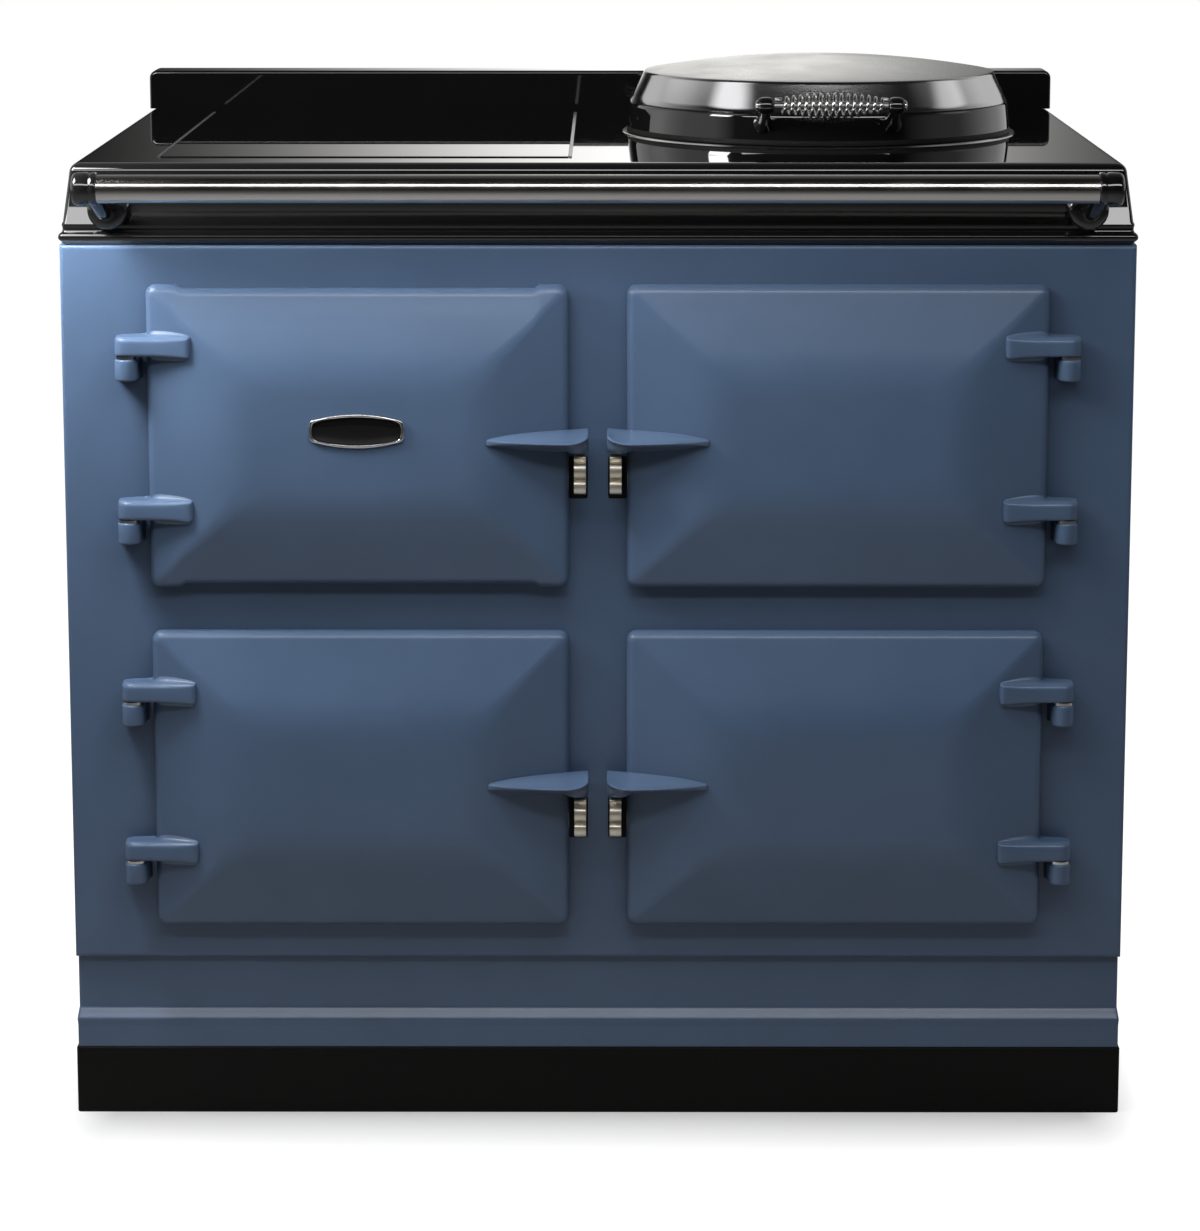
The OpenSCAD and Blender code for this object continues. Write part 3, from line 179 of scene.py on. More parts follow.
class Studio(bpy.types.PropertyGroup):
    """Where the photograph was taken from, and its lights."""
    distance: size("Distance", "Camera in front of the casting's face", 3.559)
    aside: size("Aside", "Camera to the right of the middle", 0.0126)
    height: size("Height", "Camera above the floor", 1.240)
    tilt: FloatProperty(name="Tilt", description="How far the camera looks down", default=0.1706,
                        subtype="ANGLE")
    turn: FloatProperty(name="Turn", description="How far the camera looks to the left", default=0.003,
                        subtype="ANGLE")
    lens: FloatProperty(name="Lens", description="Focal length in millimetres", default=113.4)
    lower: FloatProperty(name="Shift", description="Vertical shift of the lens", default=-0.12)
    near: FloatProperty(name="Near light", description="Power of the light by the left edge, in watts",
                        default=2.9)
    closer: FloatProperty(name="Closer light", description="Power of the light over the left doors, in watts",
                          default=4.3)
    middle: FloatProperty(name="Middle light", description="Power of the light over the middle, in watts",
                          default=1.6)
    strip: FloatProperty(name="Strip light", description="Power of the long light in front, in watts",
                         default=14.0)
    above: FloatProperty(name="Overhead light", description="Power of the broad light above, in watts",
                         default=15.0)
    side: FloatProperty(name="Side lights", description="Power of each side light, in watts", default=30.0)
    backdrop: FloatProperty(name="Backdrop", description="How bright the backdrop's middle is", default=1.25)


GROUPS = {
    "cooker_doors": DoorSizes,
    "cooker_arms": ArmSizes,
    "cooker_hob": HobSizes,
    "cooker_lid": LidSizes,
    "cooker_rail": RailSizes,
    "cooker_finishes": Finishes,
    "cooker_studio": Studio,
}

# ---------------------------------------------------------------- mesh helpers


def spread(start, end, count):
    """Evenly spaced numbers from start to end, with both ends."""
    return [start + (end - start) * i / (count - 1) for i in range(count)]


def around(count):
    """Evenly spaced angles all the way round."""
    return spread(0, 2 * PI, count + 1)[:-1]


def mm(points):
    """Points given in millimetres, as metres."""
    return [tuple(value * MM for value in point) for point in points]


def row(bm, points, closed=True):
    """New vertices joined in a row by edges."""
    verts = [bm.verts.new(p) for p in points]
    ends = verts[1:] + verts[:1] if closed else verts[1:]
    for a, b in zip(verts, ends):
        bm.edges.new((a, b))
    return verts


def edges_of(bm, verts, closed=True):
    """The edges that join a row of vertices."""
    ends = verts[1:] + verts[:1] if closed else verts[1:]
    return [bm.edges.get((a, b)) for a, b in zip(verts, ends)]


def grow(bm, verts, points, closed=True):
    """Extrudes a row of vertices, and sets the new row on these points."""
    made = bmesh.ops.extrude_edge_only(bm, edges=edges_of(bm, verts, closed))["geom"]
    fresh = {v for v in made if isinstance(v, bmesh.types.BMVert)}
    new_row = [next(e.other_vert(v) for e in v.link_edges if e.other_vert(v) in fresh) for v in verts]
    for v, p in zip(new_row, points):
        v.co = p
    return new_row


def loft(bm, sections, closed=True, caps=True):
    """A skin through sections that have as many points each. Returns all the rows."""
    rows = [row(bm, sections[0], closed)]
    for points in sections[1:]:
        rows.append(grow(bm, rows[-1], points, closed))
    if caps:
        for end in (rows[0], rows[-1]):
            bmesh.ops.contextual_create(bm, geom=edges_of(bm, end))
    return rows


def rounded(width, height, radius, steps=6):
    """Points (x, z) of a rectangle with round corners, from its right side anticlockwise."""
    points = []
    for quarter, (sx, sz) in enumerate(((1, 1), (-1, 1), (-1, -1), (1, -1))):
        for a in spread(quarter * QUARTER, (quarter + 1) * QUARTER, steps + 1):
            points.append((sx * (width / 2 - radius) + radius * math.cos(a),
                           sz * (height / 2 - radius) + radius * math.sin(a)))
    return points


def standing(points, proud):
    """Points (x, z) set upright at a distance in front of the casting's face."""
    return [Vector((x, -proud, z)) for x, z in points]


def arc(centre_u, centre_v, radius, start, end, count):
    """Points (u, v) along an arc."""
    return [(centre_u + radius * math.cos(a), centre_v + radius * math.sin(a))
            for a in spread(start, end, count)]


def lathe(bm, profile, steps=96, axis="Z"):
    """Turns a profile of (radius, height) points about an axis through the origin."""
    points = {"Z": [Vector((r, 0, h)) for r, h in profile],
              "X": [Vector((h, 0, r)) for r, h in profile],
              "Y": [Vector((r, h, 0)) for r, h in profile]}[axis]
    direction = {"X": (1, 0, 0), "Y": (0, 1, 0), "Z": (0, 0, 1)}[axis]
    before = set(bm.verts)
    verts = row(bm, points)
    bmesh.ops.spin(bm, geom=verts + edges_of(bm, verts), cent=(0, 0, 0), axis=direction,
                   angle=2 * PI, steps=steps, use_merge=True)
    made = [v for v in bm.verts if v not in before]
    bmesh.ops.remove_doubles(bm, verts=made, dist=0.02 * MM)
    return [v for v in bm.verts if v not in before]


def slab(bm, outline, depth):
    """A flat outline of points extruded by a vector. Returns its vertices."""
    verts = [bm.verts.new(p) for p in outline]
    face = bm.faces.new(verts)
    made = bmesh.ops.extrude_face_region(bm, geom=[face])["geom"]
    fresh = [v for v in made if isinstance(v, bmesh.types.BMVert)]
    bmesh.ops.translate(bm, verts=fresh, vec=depth)
    return verts + fresh


def soften(bm, width, segments=3, angle=30, keep=None):
    """Rounds the edges that are sharper than an angle."""
    sharp = [e for e in bm.edges if len(e.link_faces) == 2 and e.calc_face_angle(0) > math.radians(angle)
             and (keep is None or keep(e))]
    bmesh.ops.bevel(bm, geom=sharp, offset=width, segments=segments, profile=0.5, affect="EDGES",
                    material=-1, clamp_overlap=True)


def move(bm, vector, verts=None):
    """Shifts vertices."""
    bmesh.ops.translate(bm, verts=verts or bm.verts[:], vec=Vector(vector))


def mirror(bm, verts=None):
    """Turns a left-hand shape into a right-hand one."""
    bmesh.ops.scale(bm, verts=verts or bm.verts[:], vec=(-1, 1, 1))


def publish(bm, name, body, finish, replaces=(), smooth=35, subdivide=0, wall=0):
    """Makes the mesh an object that rides on its body and has its finish."""
    bmesh.ops.remove_doubles(bm, verts=bm.verts[:], dist=0.005 * MM)
    bmesh.ops.recalc_face_normals(bm, faces=bm.faces[:])
    mesh = bpy.data.meshes.new(name)
    bm.to_mesh(mesh)
    bm.free()
    mesh.materials.append(finish)
    mesh.shade_smooth()
    mesh.set_sharp_from_angle(angle=math.radians(smooth))
    piece = bpy.data.objects.new(name, mesh)
    bpy.context.scene.collection.objects.link(piece)
    if wall:
        solid = piece.modifiers.new("Wall", "SOLIDIFY")
        solid.thickness = wall
        solid.offset = -1
    if subdivide:
        smoother = piece.modifiers.new("Cast surface", "SUBSURF")
        smoother.levels = subdivide
        smoother.render_levels = subdivide
    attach(piece, body)
    if replaces:
        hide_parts(*replaces)
    return piece


# ---------------------------------------------------------------- materials


def new_group(name, inputs, outputs):
    """An empty shader node group with its sockets."""
    group = bpy.data.node_groups.new(name, "ShaderNodeTree")
    for label, kind, default in inputs:
        socket = group.interface.new_socket(name=label, in_out="INPUT", socket_type="NodeSocket" + kind)
        socket.default_value = default
    for label, kind in outputs:
        group.interface.new_socket(name=label, in_out="OUTPUT", socket_type="NodeSocket" + kind)
    start = group.nodes.new("NodeGroupInput")
    end = group.nodes.new("NodeGroupOutput")
    return group, start.outputs, end.inputs


def add(tree, kind, sources=None, **settings):
    """A node with its settings, and its inputs set to values or linked to sockets."""
    made = tree.nodes.new("ShaderNode" + kind)
    for key, value in settings.items():
        setattr(made, key, value)
    for key, value in (sources or {}).items():
        socket = made.inputs[key]
        if isinstance(value, bpy.types.NodeSocket):
            tree.links.new(value, socket)
        else:
            socket.default_value = value
    return made


def noise(tree, vector, scale, detail=2.0, roughness=0.5):
    """A noise value between about 0.3 and 0.7."""
    made = add(tree, "TexNoise", {"Vector": vector, "Scale": scale, "Detail": detail,
                                  "Roughness": roughness})
    return made.outputs["Fac"]


def ranged(tree, value, low, high, from_low=0.3, from_high=0.7):
    """A value brought into a range and held there."""
    made = add(tree, "MapRange", {"Value": value, "From Min": from_low, "From Max": from_high,
                                  "To Min": low, "To Max": high})
    return made.outputs["Result"]


def maths(tree, operation, a, b):
    """Two values put together."""
    made = add(tree, "Math", {0: a, 1: b}, operation=operation)
    return made.outputs["Value"]


def shaded(tree, colour_in, factor):
    """A colour made lighter or darker by a factor."""
    made = add(tree, "VectorMath", {0: colour_in, 1: factor}, operation="MULTIPLY")
    return made.outputs["Vector"]


def object_place(tree):
    """The surface's place in the cooker's own frame."""
    return tree.nodes.new("ShaderNodeTexCoord").outputs["Object"]


SKIN_OUT = [("Colour", "Color"), ("Roughness", "Float"), ("Height", "Float")]


def enamel_group():
    """Vitreous enamel: a slow change of tone, a fine ripple and a little haze."""
    tree, given, out = new_group("Enamel skin", [
        ("Colour", "Color", (0.1, 0.1, 0.1, 1)), ("Tone", "Float", 0.08),
        ("Ripple scale", "Float", 260.0), ("Roughness", "Float", 0.25), ("Haze", "Float", 0.08)], SKIN_OUT)
    place = object_place(tree)
    cloud = noise(tree, place, 14.0, 3.0)
    tone = ranged(tree, cloud, -1.0, 1.0)
    factor = maths(tree, "ADD", maths(tree, "MULTIPLY", tone, given["Tone"]), 1.0)
    fleck = ranged(tree, noise(tree, place, 1400.0, 1.0), 0.97, 1.03)
    tree.links.new(shaded(tree, given["Colour"], maths(tree, "MULTIPLY", factor, fleck)), out["Colour"])
    haze = ranged(tree, noise(tree, place, 45.0, 4.0, 0.6), 0.0, 1.0)
    tree.links.new(maths(tree, "ADD", given["Roughness"], maths(tree, "MULTIPLY", haze, given["Haze"])),
                   out["Roughness"])
    ripple = noise(tree, place, given["Ripple scale"], 2.0)
    broad = noise(tree, place, 38.0, 1.0)
    tree.links.new(maths(tree, "ADD", ripple, maths(tree, "MULTIPLY", broad, 4.0)), out["Height"])
    return tree


def brushed_group():
    """Brushed or turned metal: long fine streaks in the tone, the gloss and the height."""
    tree, given, out = new_group("Brushed metal", [
        ("Colour", "Color", (0.5, 0.5, 0.5, 1)), ("Stretch", "Vector", (4.0, 900.0, 900.0)),
        ("Streaks", "Float", 0.12), ("Roughness", "Float", 0.3)], SKIN_OUT)
    place = object_place(tree)
    drawn = add(tree, "VectorMath", {0: place, 1: given["Stretch"]}, operation="MULTIPLY").outputs["Vector"]
    streak = noise(tree, drawn, 1.0, 4.0, 0.7)
    level = ranged(tree, streak, -1.0, 1.0)
    change = maths(tree, "MULTIPLY", level, given["Streaks"])
    tree.links.new(shaded(tree, given["Colour"], maths(tree, "ADD", change, 1.0)), out["Colour"])
    smear = ranged(tree, noise(tree, place, 22.0, 3.0), -0.03, 0.04)
    rough = maths(tree, "ADD", given["Roughness"], maths(tree, "MULTIPLY", change, 0.6))
    tree.links.new(maths(tree, "ADD", rough, smear), out["Roughness"])
    tree.links.new(streak, out["Height"])
    return tree


def cast_group():
    """Cast or rolled surface: grains of two sizes and shallow pits."""
    tree, given, out = new_group("Cast grain", [
        ("Colour", "Color", (0.1, 0.1, 0.1, 1)), ("Grain scale", "Float", 700.0),
        ("Roughness", "Float", 0.5), ("Tone", "Float", 0.2)], SKIN_OUT)
    place = object_place(tree)
    grain = noise(tree, place, given["Grain scale"], 3.0, 0.6)
    pits = add(tree, "TexVoronoi", {"Vector": place, "Scale": given["Grain scale"]}).outputs["Distance"]
    worn = ranged(tree, noise(tree, place, 18.0, 4.0, 0.6), -1.0, 1.0)
    factor = maths(tree, "ADD", maths(tree, "MULTIPLY", worn, given["Tone"]), 1.0)
    tree.links.new(shaded(tree, given["Colour"], factor), out["Colour"])
    tree.links.new(maths(tree, "ADD", given["Roughness"], ranged(tree, grain, -0.06, 0.06)),
                   out["Roughness"])
    tree.links.new(maths(tree, "ADD", grain, maths(tree, "MULTIPLY", pits, 0.6)), out["Height"])
    return tree


def speckle_group():
    """Oven enamel: pale specks of two sizes in a dark ground."""
    tree, given, out = new_group("Speckled enamel", [
        ("Ground", "Color", (0.01, 0.01, 0.012, 1)), ("Specks", "Color", (0.5, 0.5, 0.5, 1)),
        ("Roughness", "Float", 0.3)], SKIN_OUT)
    place = object_place(tree)
    fine = add(tree, "TexVoronoi", {"Vector": place, "Scale": 420.0}).outputs["Distance"]
    dots = ranged(tree, fine, 1.0, 0.0, 0.10, 0.22)
    patch = ranged(tree, noise(tree, place, 160.0, 2.0), 0.0, 1.0, 0.45, 0.6)
    mix = add(tree, "Mix", {"Factor": maths(tree, "MULTIPLY", dots, patch), "A": given["Ground"],
                            "B": given["Specks"]}, data_type="RGBA")
    tree.links.new(mix.outputs["Result"], out["Colour"])
    tree.links.new(given["Roughness"], out["Roughness"])
    tree.links.new(noise(tree, place, 300.0, 2.0), out["Height"])
    return tree


def fibre_group():
    """Mineral fibre and woven rope: crossed threads with loose tone."""
    tree, given, out = new_group("Fibres", [
        ("Colour", "Color", (0.5, 0.45, 0.4, 1)), ("Thread scale", "Float", 500.0),
        ("Roughness", "Float", 0.9)], SKIN_OUT)
    place = object_place(tree)
    strands = add(tree, "TexWave", {"Vector": place, "Scale": given["Thread scale"], "Distortion": 3.0,
                                    "Detail": 2.0}, bands_direction="DIAGONAL").outputs["Fac"]
    fluff = noise(tree, place, given["Thread scale"], 5.0, 0.7)
    depth = maths(tree, "ADD", maths(tree, "MULTIPLY", strands, 0.5), fluff)
    tree.links.new(shaded(tree, given["Colour"], ranged(tree, depth, 0.55, 1.15, 0.3, 1.1)), out["Colour"])
    tree.links.new(given["Roughness"], out["Roughness"])
    tree.links.new(depth, out["Height"])
    return tree


def handled_group():
    """Polished glass, chrome and gloss mouldings: faint smears where hands have been."""
    tree, given, out = new_group("Handled gloss", [
        ("Colour", "Color", (0.8, 0.8, 0.8, 1)), ("Roughness", "Float", 0.05),
        ("Smears", "Float", 0.04)], SKIN_OUT)
    place = object_place(tree)
    smear = ranged(tree, noise(tree, place, 30.0, 5.0, 0.65), 0.0, 1.0, 0.45, 0.75)
    tree.links.new(maths(tree, "ADD", given["Roughness"], maths(tree, "MULTIPLY", smear, given["Smears"])),
                   out["Roughness"])
    tint = ranged(tree, noise(tree, place, 9.0, 2.0), 0.97, 1.02)
    tree.links.new(shaded(tree, given["Colour"], tint), out["Colour"])
    tree.links.new(noise(tree, place, 120.0, 1.0), out["Height"])
    return tree


GROUP_MAKERS = {"Enamel skin": enamel_group, "Brushed metal": brushed_group, "Cast grain": cast_group,
                "Speckled enamel": speckle_group, "Fibres": fibre_group, "Handled gloss": handled_group}


def surface(name, group, given, bump=(0.0, 0.0), **shader):
    """A material: one Principled shader fed by one of the groups. bump is strength and depth."""
    made = bpy.data.materials.get(name)
    if made:
        return made
    made = bpy.data.materials.new(name)
    made.use_nodes = True
    tree = made.node_tree
    principled = tree.nodes["Principled BSDF"]
    skin = add(tree, "Group")
    skin.node_tree = bpy.data.node_groups.get(group) or GROUP_MAKERS[group]()
    for label, value in given.items():
        skin.inputs[label].default_value = (*value, 1) if label in ("Colour", "Ground", "Specks") else value
    tree.links.new(skin.outputs["Colour"], principled.inputs["Base Color"])
    tree.links.new(skin.outputs["Roughness"], principled.inputs["Roughness"])
    if bump[0]:
        relief = add(tree, "Bump", {"Height": skin.outputs["Height"], "Strength": bump[0],
                                    "Distance": bump[1]})
        tree.links.new(relief.outputs["Normal"], principled.inputs["Normal"])
    for label, value in shader.items():
        principled.inputs[label.replace("_", " ")].default_value = value
    return made


def finishes():
    """The colours in use."""
    return bpy.context.scene.cooker_finishes


def blue_enamel():
    return surface("blue_enamel", "Enamel skin", {"Colour": finishes().blue, "Tone": 0.04,
                   "Roughness": 0.30, "Haze": 0.05, "Ripple scale": 220.0}, (0.10, 0.25 * MM),
                   Coat_Weight=0.25, Coat_Roughness=0.12)


def black_enamel():
    return surface("black_enamel", "Enamel skin", {"Colour": finishes().black, "Tone": 0.05,
                   "Roughness": 0.03, "Haze": 0.02, "Ripple scale": 150.0}, (0.003, 0.05 * MM),
                   Coat_Weight=1.0, Coat_Roughness=0.01)


def plinth_paint():
    return surface("plinth_paint", "Cast grain", {"Colour": finishes().plinth, "Grain scale": 500.0,
                   "Roughness": 0.5, "Tone": 0.12}, (0.15, 0.2 * MM), Specular_IOR_Level=0.2)


def black_glass():
    return surface("black_glass", "Handled gloss", {"Colour": finishes().black, "Roughness": 0.015,
                   "Smears": 0.01}, (0.0, 0.0), Coat_Weight=1.0, Coat_Roughness=0.01)


def chrome():
    return surface("chrome", "Handled gloss", {"Colour": finishes().chrome, "Roughness": 0.05,
                   "Smears": 0.04}, (0.02, 0.1 * MM), Metallic=1.0)


def brushed_lid():
    return surface("brushed_lid", "Brushed metal", {"Colour": finishes().lid,
                   "Stretch": (700.0, 6.0, 700.0), "Streaks": 0.05, "Roughness": 0.30},
                   (0.02, 0.05 * MM), Metallic=1.0, Anisotropic=0.5)


def rail_steel():
    return surface("rail_steel", "Brushed metal", {"Colour": finishes().rail,
                   "Stretch": (3.0, 900.0, 900.0), "Streaks": 0.06, "Roughness": 0.17},
                   (0.02, 0.05 * MM), Metallic=1.0)


def nickel():
    return surface("nickel", "Brushed metal", {"Colour": finishes().nickel,
                   "Stretch": (20.0, 600.0, 900.0), "Streaks": 0.08, "Roughness": 0.34},
                   (0.05, 0.05 * MM), Metallic=1.0)


def satin_nickel():
    return surface("satin_nickel", "Brushed metal", {"Colour": finishes().nickel,
                   "Stretch": (20.0, 600.0, 900.0), "Streaks": 0.05, "Roughness": 0.40},
                   (0.03, 0.05 * MM), Metallic=1.0)


def brushed_steel():
    return surface("brushed_steel", "Brushed metal", {"Colour": finishes().steel,
                   "Stretch": (5.0, 400.0, 700.0), "Streaks": 0.12, "Roughness": 0.34},
                   (0.05, 0.1 * MM), Metallic=1.0)


def coil_steel():
    return surface("coil_steel", "Handled gloss", {"Colour": finishes().chrome, "Roughness": 0.14,
                   "Smears": 0.05}, (0.03, 0.1 * MM), Metallic=1.0)


def dark_steel():
    return surface("dark_steel", "Cast grain", {"Colour": (0.10, 0.10, 0.105), "Grain scale": 600.0,
                   "Roughness": 0.45, "Tone": 0.15}, (0.1, 0.2 * MM), Metallic=0.8)


def machined_iron():
    return surface("machined_iron", "Brushed metal", {"Colour": (0.07, 0.07, 0.075),
                   "Stretch": (300.0, 300.0, 40.0), "Streaks": 0.2, "Roughness": 0.42},
                   (0.1, 0.1 * MM), Metallic=0.7)


def copper():
    return surface("copper", "Brushed metal", {"Colour": (0.62, 0.30, 0.16),
                   "Stretch": (300.0, 300.0, 900.0), "Streaks": 0.2, "Roughness": 0.3},
                   (0.2, 0.2 * MM), Metallic=1.0)


def mineral_wool():
    return surface("mineral_wool", "Fibres", {"Colour": (0.50, 0.45, 0.34), "Thread scale": 180.0},
                   (0.6, 1.5 * MM))


def rope():
    return surface("rope_seal", "Fibres", {"Colour": (0.14, 0.14, 0.135), "Thread scale": 90.0,
                   "Roughness": 0.85}, (0.8, 0.8 * MM), Sheen_Weight=0.2)


def oven_enamel():
    return surface("oven_enamel", "Speckled enamel", {"Ground": (0.008, 0.009, 0.014),
                   "Specks": (0.35, 0.36, 0.40), "Roughness": 0.25}, (0.05, 0.2 * MM),
                   Coat_Weight=0.4, Coat_Roughness=0.08)


def black_moulding():
    return surface("black_moulding", "Handled gloss", {"Colour": (0.012, 0.012, 0.013),
                   "Roughness": 0.28, "Smears": 0.1}, (0.03, 0.1 * MM))


def pale_moulding():
    return surface("pale_moulding", "Cast grain", {"Colour": (0.50, 0.47, 0.40), "Grain scale": 900.0,
                   "Roughness": 0.6, "Tone": 0.05}, (0.05, 0.1 * MM))


NODE_FINISHES = {
    blue_enamel: ("left_side_panel", "right_side_panel"),
    dark_steel: ("levelling_feet", "base_tray", "hotplate_element", "oven_elements", "control_panel"),
    nickel: ("hinge_pins",),
    black_glass: ("hob_glass",),
    brushed_steel: ("glass_trim", "induction_tray", "terminal_box", "lid_hinge_pin", "grip_rod",
                    "oven_shelves", "back_panel"),
    copper: ("induction_coils",),
    machined_iron: ("hotplate",),
    chrome: ("hotplate_ring", "lid_liner"),
    oven_enamel: ("roasting_oven_liner", "baking_oven_liner", "simmering_oven_liner",
                  "control_compartment"),
    mineral_wool: ("oven_insulation", "lid_insulation", "roasting_door_insulation",
                   "baking_door_insulation", "simmering_door_insulation"),
    pale_moulding: ("switch_bodies",),
    black_moulding: ("cable_gland",),
    black_enamel: ("lid_hinge_arm", "lid_hinge_bracket"),
}

# ---------------------------------------------------------------- doors


def slope_at(door, across):
    """How proud the door's sloping border is at a distance from its middle."""
    inset = door.width / 2 - abs(across)
    return door.back + door.rim + min(max(inset, 0.0), door.hip) * door.rise / door.hip


def door_rings(door):
    """(inset, proud) from the door's back, round the rim and up the slope to the flat."""
    tilt = math.atan2(door.rise, door.hip)
    rim = door.back + door.rim
    centre = rim + door.edge * math.tan(tilt) - door.edge / math.cos(tilt)
    rings = [(1.5 * MM, door.back), (0.4 * MM, door.back + 0.4 * MM), (0.0, door.back + 1.5 * MM)]
    rings += arc(door.edge, centre, door.edge, PI, QUARTER + tilt, 9)
    start = rings[-1][0]
    end = door.hip - door.soft
    rings += [(inset, rim + inset * math.tan(tilt))
              for inset in (start + 2 * MM, *spread(start + (end - start) * 0.25, end - 2 * MM, 4), end)]
    front = rim + door.rise
    rings += [(end + 2 * door.soft * t, front - (1 - t) ** 2 * door.soft * math.tan(tilt))
              for t in spread(0.15, 1.0, 7)]
    rings.append((rings[-1][0] + 3 * MM, front))
    return rings


RIDGE_RADIUS = 5 * MM
FLAT_RADIUS = 26 * MM


def ring_radius(door, inset):
    """Corner radius of a ring: close at the rim, wide round the flat, so the ridges are soft."""
    if inset < door.edge:
        return door.corner - (door.corner - RIDGE_RADIUS) * inset / door.edge
    share = min((inset - door.edge) / (door.hip + door.soft - door.edge), 1.0)
    return RIDGE_RADIUS + (FLAT_RADIUS - RIDGE_RADIUS) * share ** 2


def door_shell(bm, door):
    """The hollow hipped casting of one door, about its own middle."""
    width, height = door.opening_width, door.opening_height
    deep = door.back + door.rim + door.rise - 8 * MM
    shallow = door.back + 6 * MM
    inner = 2 * (door.hip - 1 * MM)
    sections = [standing(rounded(width - inner, height - inner, 4 * MM), deep),
                standing(rounded(width, height, door.corner), shallow),
                standing(rounded(width, height, door.corner), door.back)]
    for inset, proud in door_rings(door):
        outline = rounded(door.width - 2 * inset, door.height - 2 * inset, ring_radius(door, inset))
        sections.append(standing(outline, proud))
    loft(bm, sections)


VENT_HALF = 163 * MM
VENT_RAMP = 5 * MM
VENT_DEPTH = 3.5 * MM
VENT_FADE = 50 * MM


def cut_vents(bm, door):
    """Draws the top and bottom edges of the control door in, between its corners."""
    for x in (-VENT_HALF - VENT_RAMP, -VENT_HALF, VENT_HALF, VENT_HALF + VENT_RAMP):
        bmesh.ops.bisect_plane(bm, geom=bm.verts[:] + bm.edges[:] + bm.faces[:],
                               plane_co=(x, 0, 0), plane_no=(1, 0, 0))
    for v in bm.verts:
        inset = door.height / 2 - abs(v.co.z)
        if abs(v.co.x) < VENT_HALF + 0.1 * MM and inset < VENT_FADE:
            share = min(1.0, (VENT_FADE - inset) / (VENT_FADE - door.edge))
            v.co.z -= math.copysign(VENT_DEPTH * share, v.co.z)


def door_middle(hinge, side):
    """The middle of a closed door, on the casting's face."""
    door = bpy.context.scene.cooker_doors
    axis = pivot(hinge)
    return Vector((axis.x - side * (door.width / 2 + door.hinge_out), FACE_Y, axis.z))


def place_door_piece(bm, name):
    """Moves a shape from a left-hung door's own middle to a door's place."""
    _, hinge, side = DOORS[name]
    if side > 0:
        mirror(bm)
    move(bm, door_middle(hinge, side))


class COOKER_OT_doors(bpy.types.Operator):
    """Casts the four hipped doors"""
    bl_idname = "cooker.doors"
    bl_label = "Doors"

    def execute(self, context):
        door = context.scene.cooker_doors
        for name, (body, _, _) in DOORS.items():
            bm = bmesh.new()
            door_shell(bm, door)
            if name == "control_door":
                cut_vents(bm, door)
            place_door_piece(bm, name)
            publish(bm, name + "_shell", body, blue_enamel(), [name], smooth=40)
        return {"FINISHED"}


def arm_side(back, front, half, flare, nose):
    """The upper half of a slice across a hinge arm, as (proud, up)."""
    points = [(back - 2 * MM, half + flare)]
    points += [(back + flare - flare * math.cos(a), half + flare - flare * math.sin(a))
               for a in spread(0, QUARTER, 4)]
    points += [(front - nose + nose * math.sin(a), half - nose + nose * math.cos(a))
               for a in spread(0, QUARTER, 5)]
    return points


def arm_section(x, z, back, front, half, flare, nose):
    """One slice across a hinge arm: a bar, rounder above than below, whose back flares into the door."""
    brow = min(1.9 * nose, (front - back) * 0.6, half * 0.75)
    upper = arm_side(back, front, half, flare, brow)
    lower = arm_side(back, front, half, flare, nose)
    whole = upper + [(proud, -up) for proud, up in reversed(lower)]
    return [Vector((x, -proud, z - half + up)) for proud, up in whole]


# Slices of a hinge arm over its door, in millimetres: distance in from the door's edge, how far
# past the barrel's front, what is added to the arm's half height, flare at the back, nose in front
ARM_SLICES = ((3, 0.2, 0, 4, 3.2), (9, 0.5, 0, 5.5, 3.2), (22, 1.3, 0.2, 5, 3.2),
              (33, 2.2, 0.7, 3.5, 3.2), (38, 2.6, 0.9, 2.5, 3))
ARM_BACK = 8 * MM
ARM_NOSE = 3.2 * MM


def arm_sections(door, arm, top):
    """Slices of one hinge arm, from its barrel to its root on the door's slope."""
    half = arm.arm_height / 2
    edge = door.width / 2
    pin = edge + door.hinge_out
    slices = []
    for a in (0.35, 0.8, 1.2, QUARTER):
        reach = arm.barrel * math.sin(a)
        slices.append((-pin - arm.barrel * math.cos(a), arm.axis_out - reach, arm.axis_out + reach,
                       half, 0.2 * MM, min(ARM_NOSE, reach * 0.5)))
    front = arm.axis_out + arm.barrel
    slices.append((-edge - 4 * MM, ARM_BACK, front, half, 0.2 * MM, ARM_NOSE))
    slices.append((-edge - 1 * MM, ARM_BACK, front, half, 1.5 * MM, ARM_NOSE))
    for inset, rise, taller, flare, nose in mm(ARM_SLICES):
        x = -edge + inset
        slices.append((x, slope_at(door, x), front + rise, half + taller, flare, nose))
    x = -edge + 41 * MM
    slices.append((x, slope_at(door, x), front + 1.8 * MM, half + 0.4 * MM, 1.5 * MM, 1.6 * MM))
    x = -edge + 42.5 * MM
    slices.append((x, slope_at(door, x) - 0.6 * MM, slope_at(door, x) + 0.6 * MM, half - 1 * MM,
                   0.3 * MM, 0.3 * MM))
    return [arm_section(x, top, back, front, half, flare, nose)
            for x, back, front, half, flare, nose in slices]


class COOKER_OT_hinge_arms(bpy.types.Operator):
    """Adds the two hinge arms of every door"""
    bl_idname = "cooker.hinge_arms"
    bl_label = "Hinge arms"

    def execute(self, context):
        door = context.scene.cooker_doors
        arm = context.scene.cooker_arms
        for name, (body, _, _) in DOORS.items():
            bm = bmesh.new()
            for top in (arm.arm_high, -arm.arm_low):
                loft(bm, arm_sections(door, arm, top))
            place_door_piece(bm, name)
            publish(bm, name + "_arms", body, blue_enamel(), smooth=60, subdivide=2)
        return {"FINISHED"}


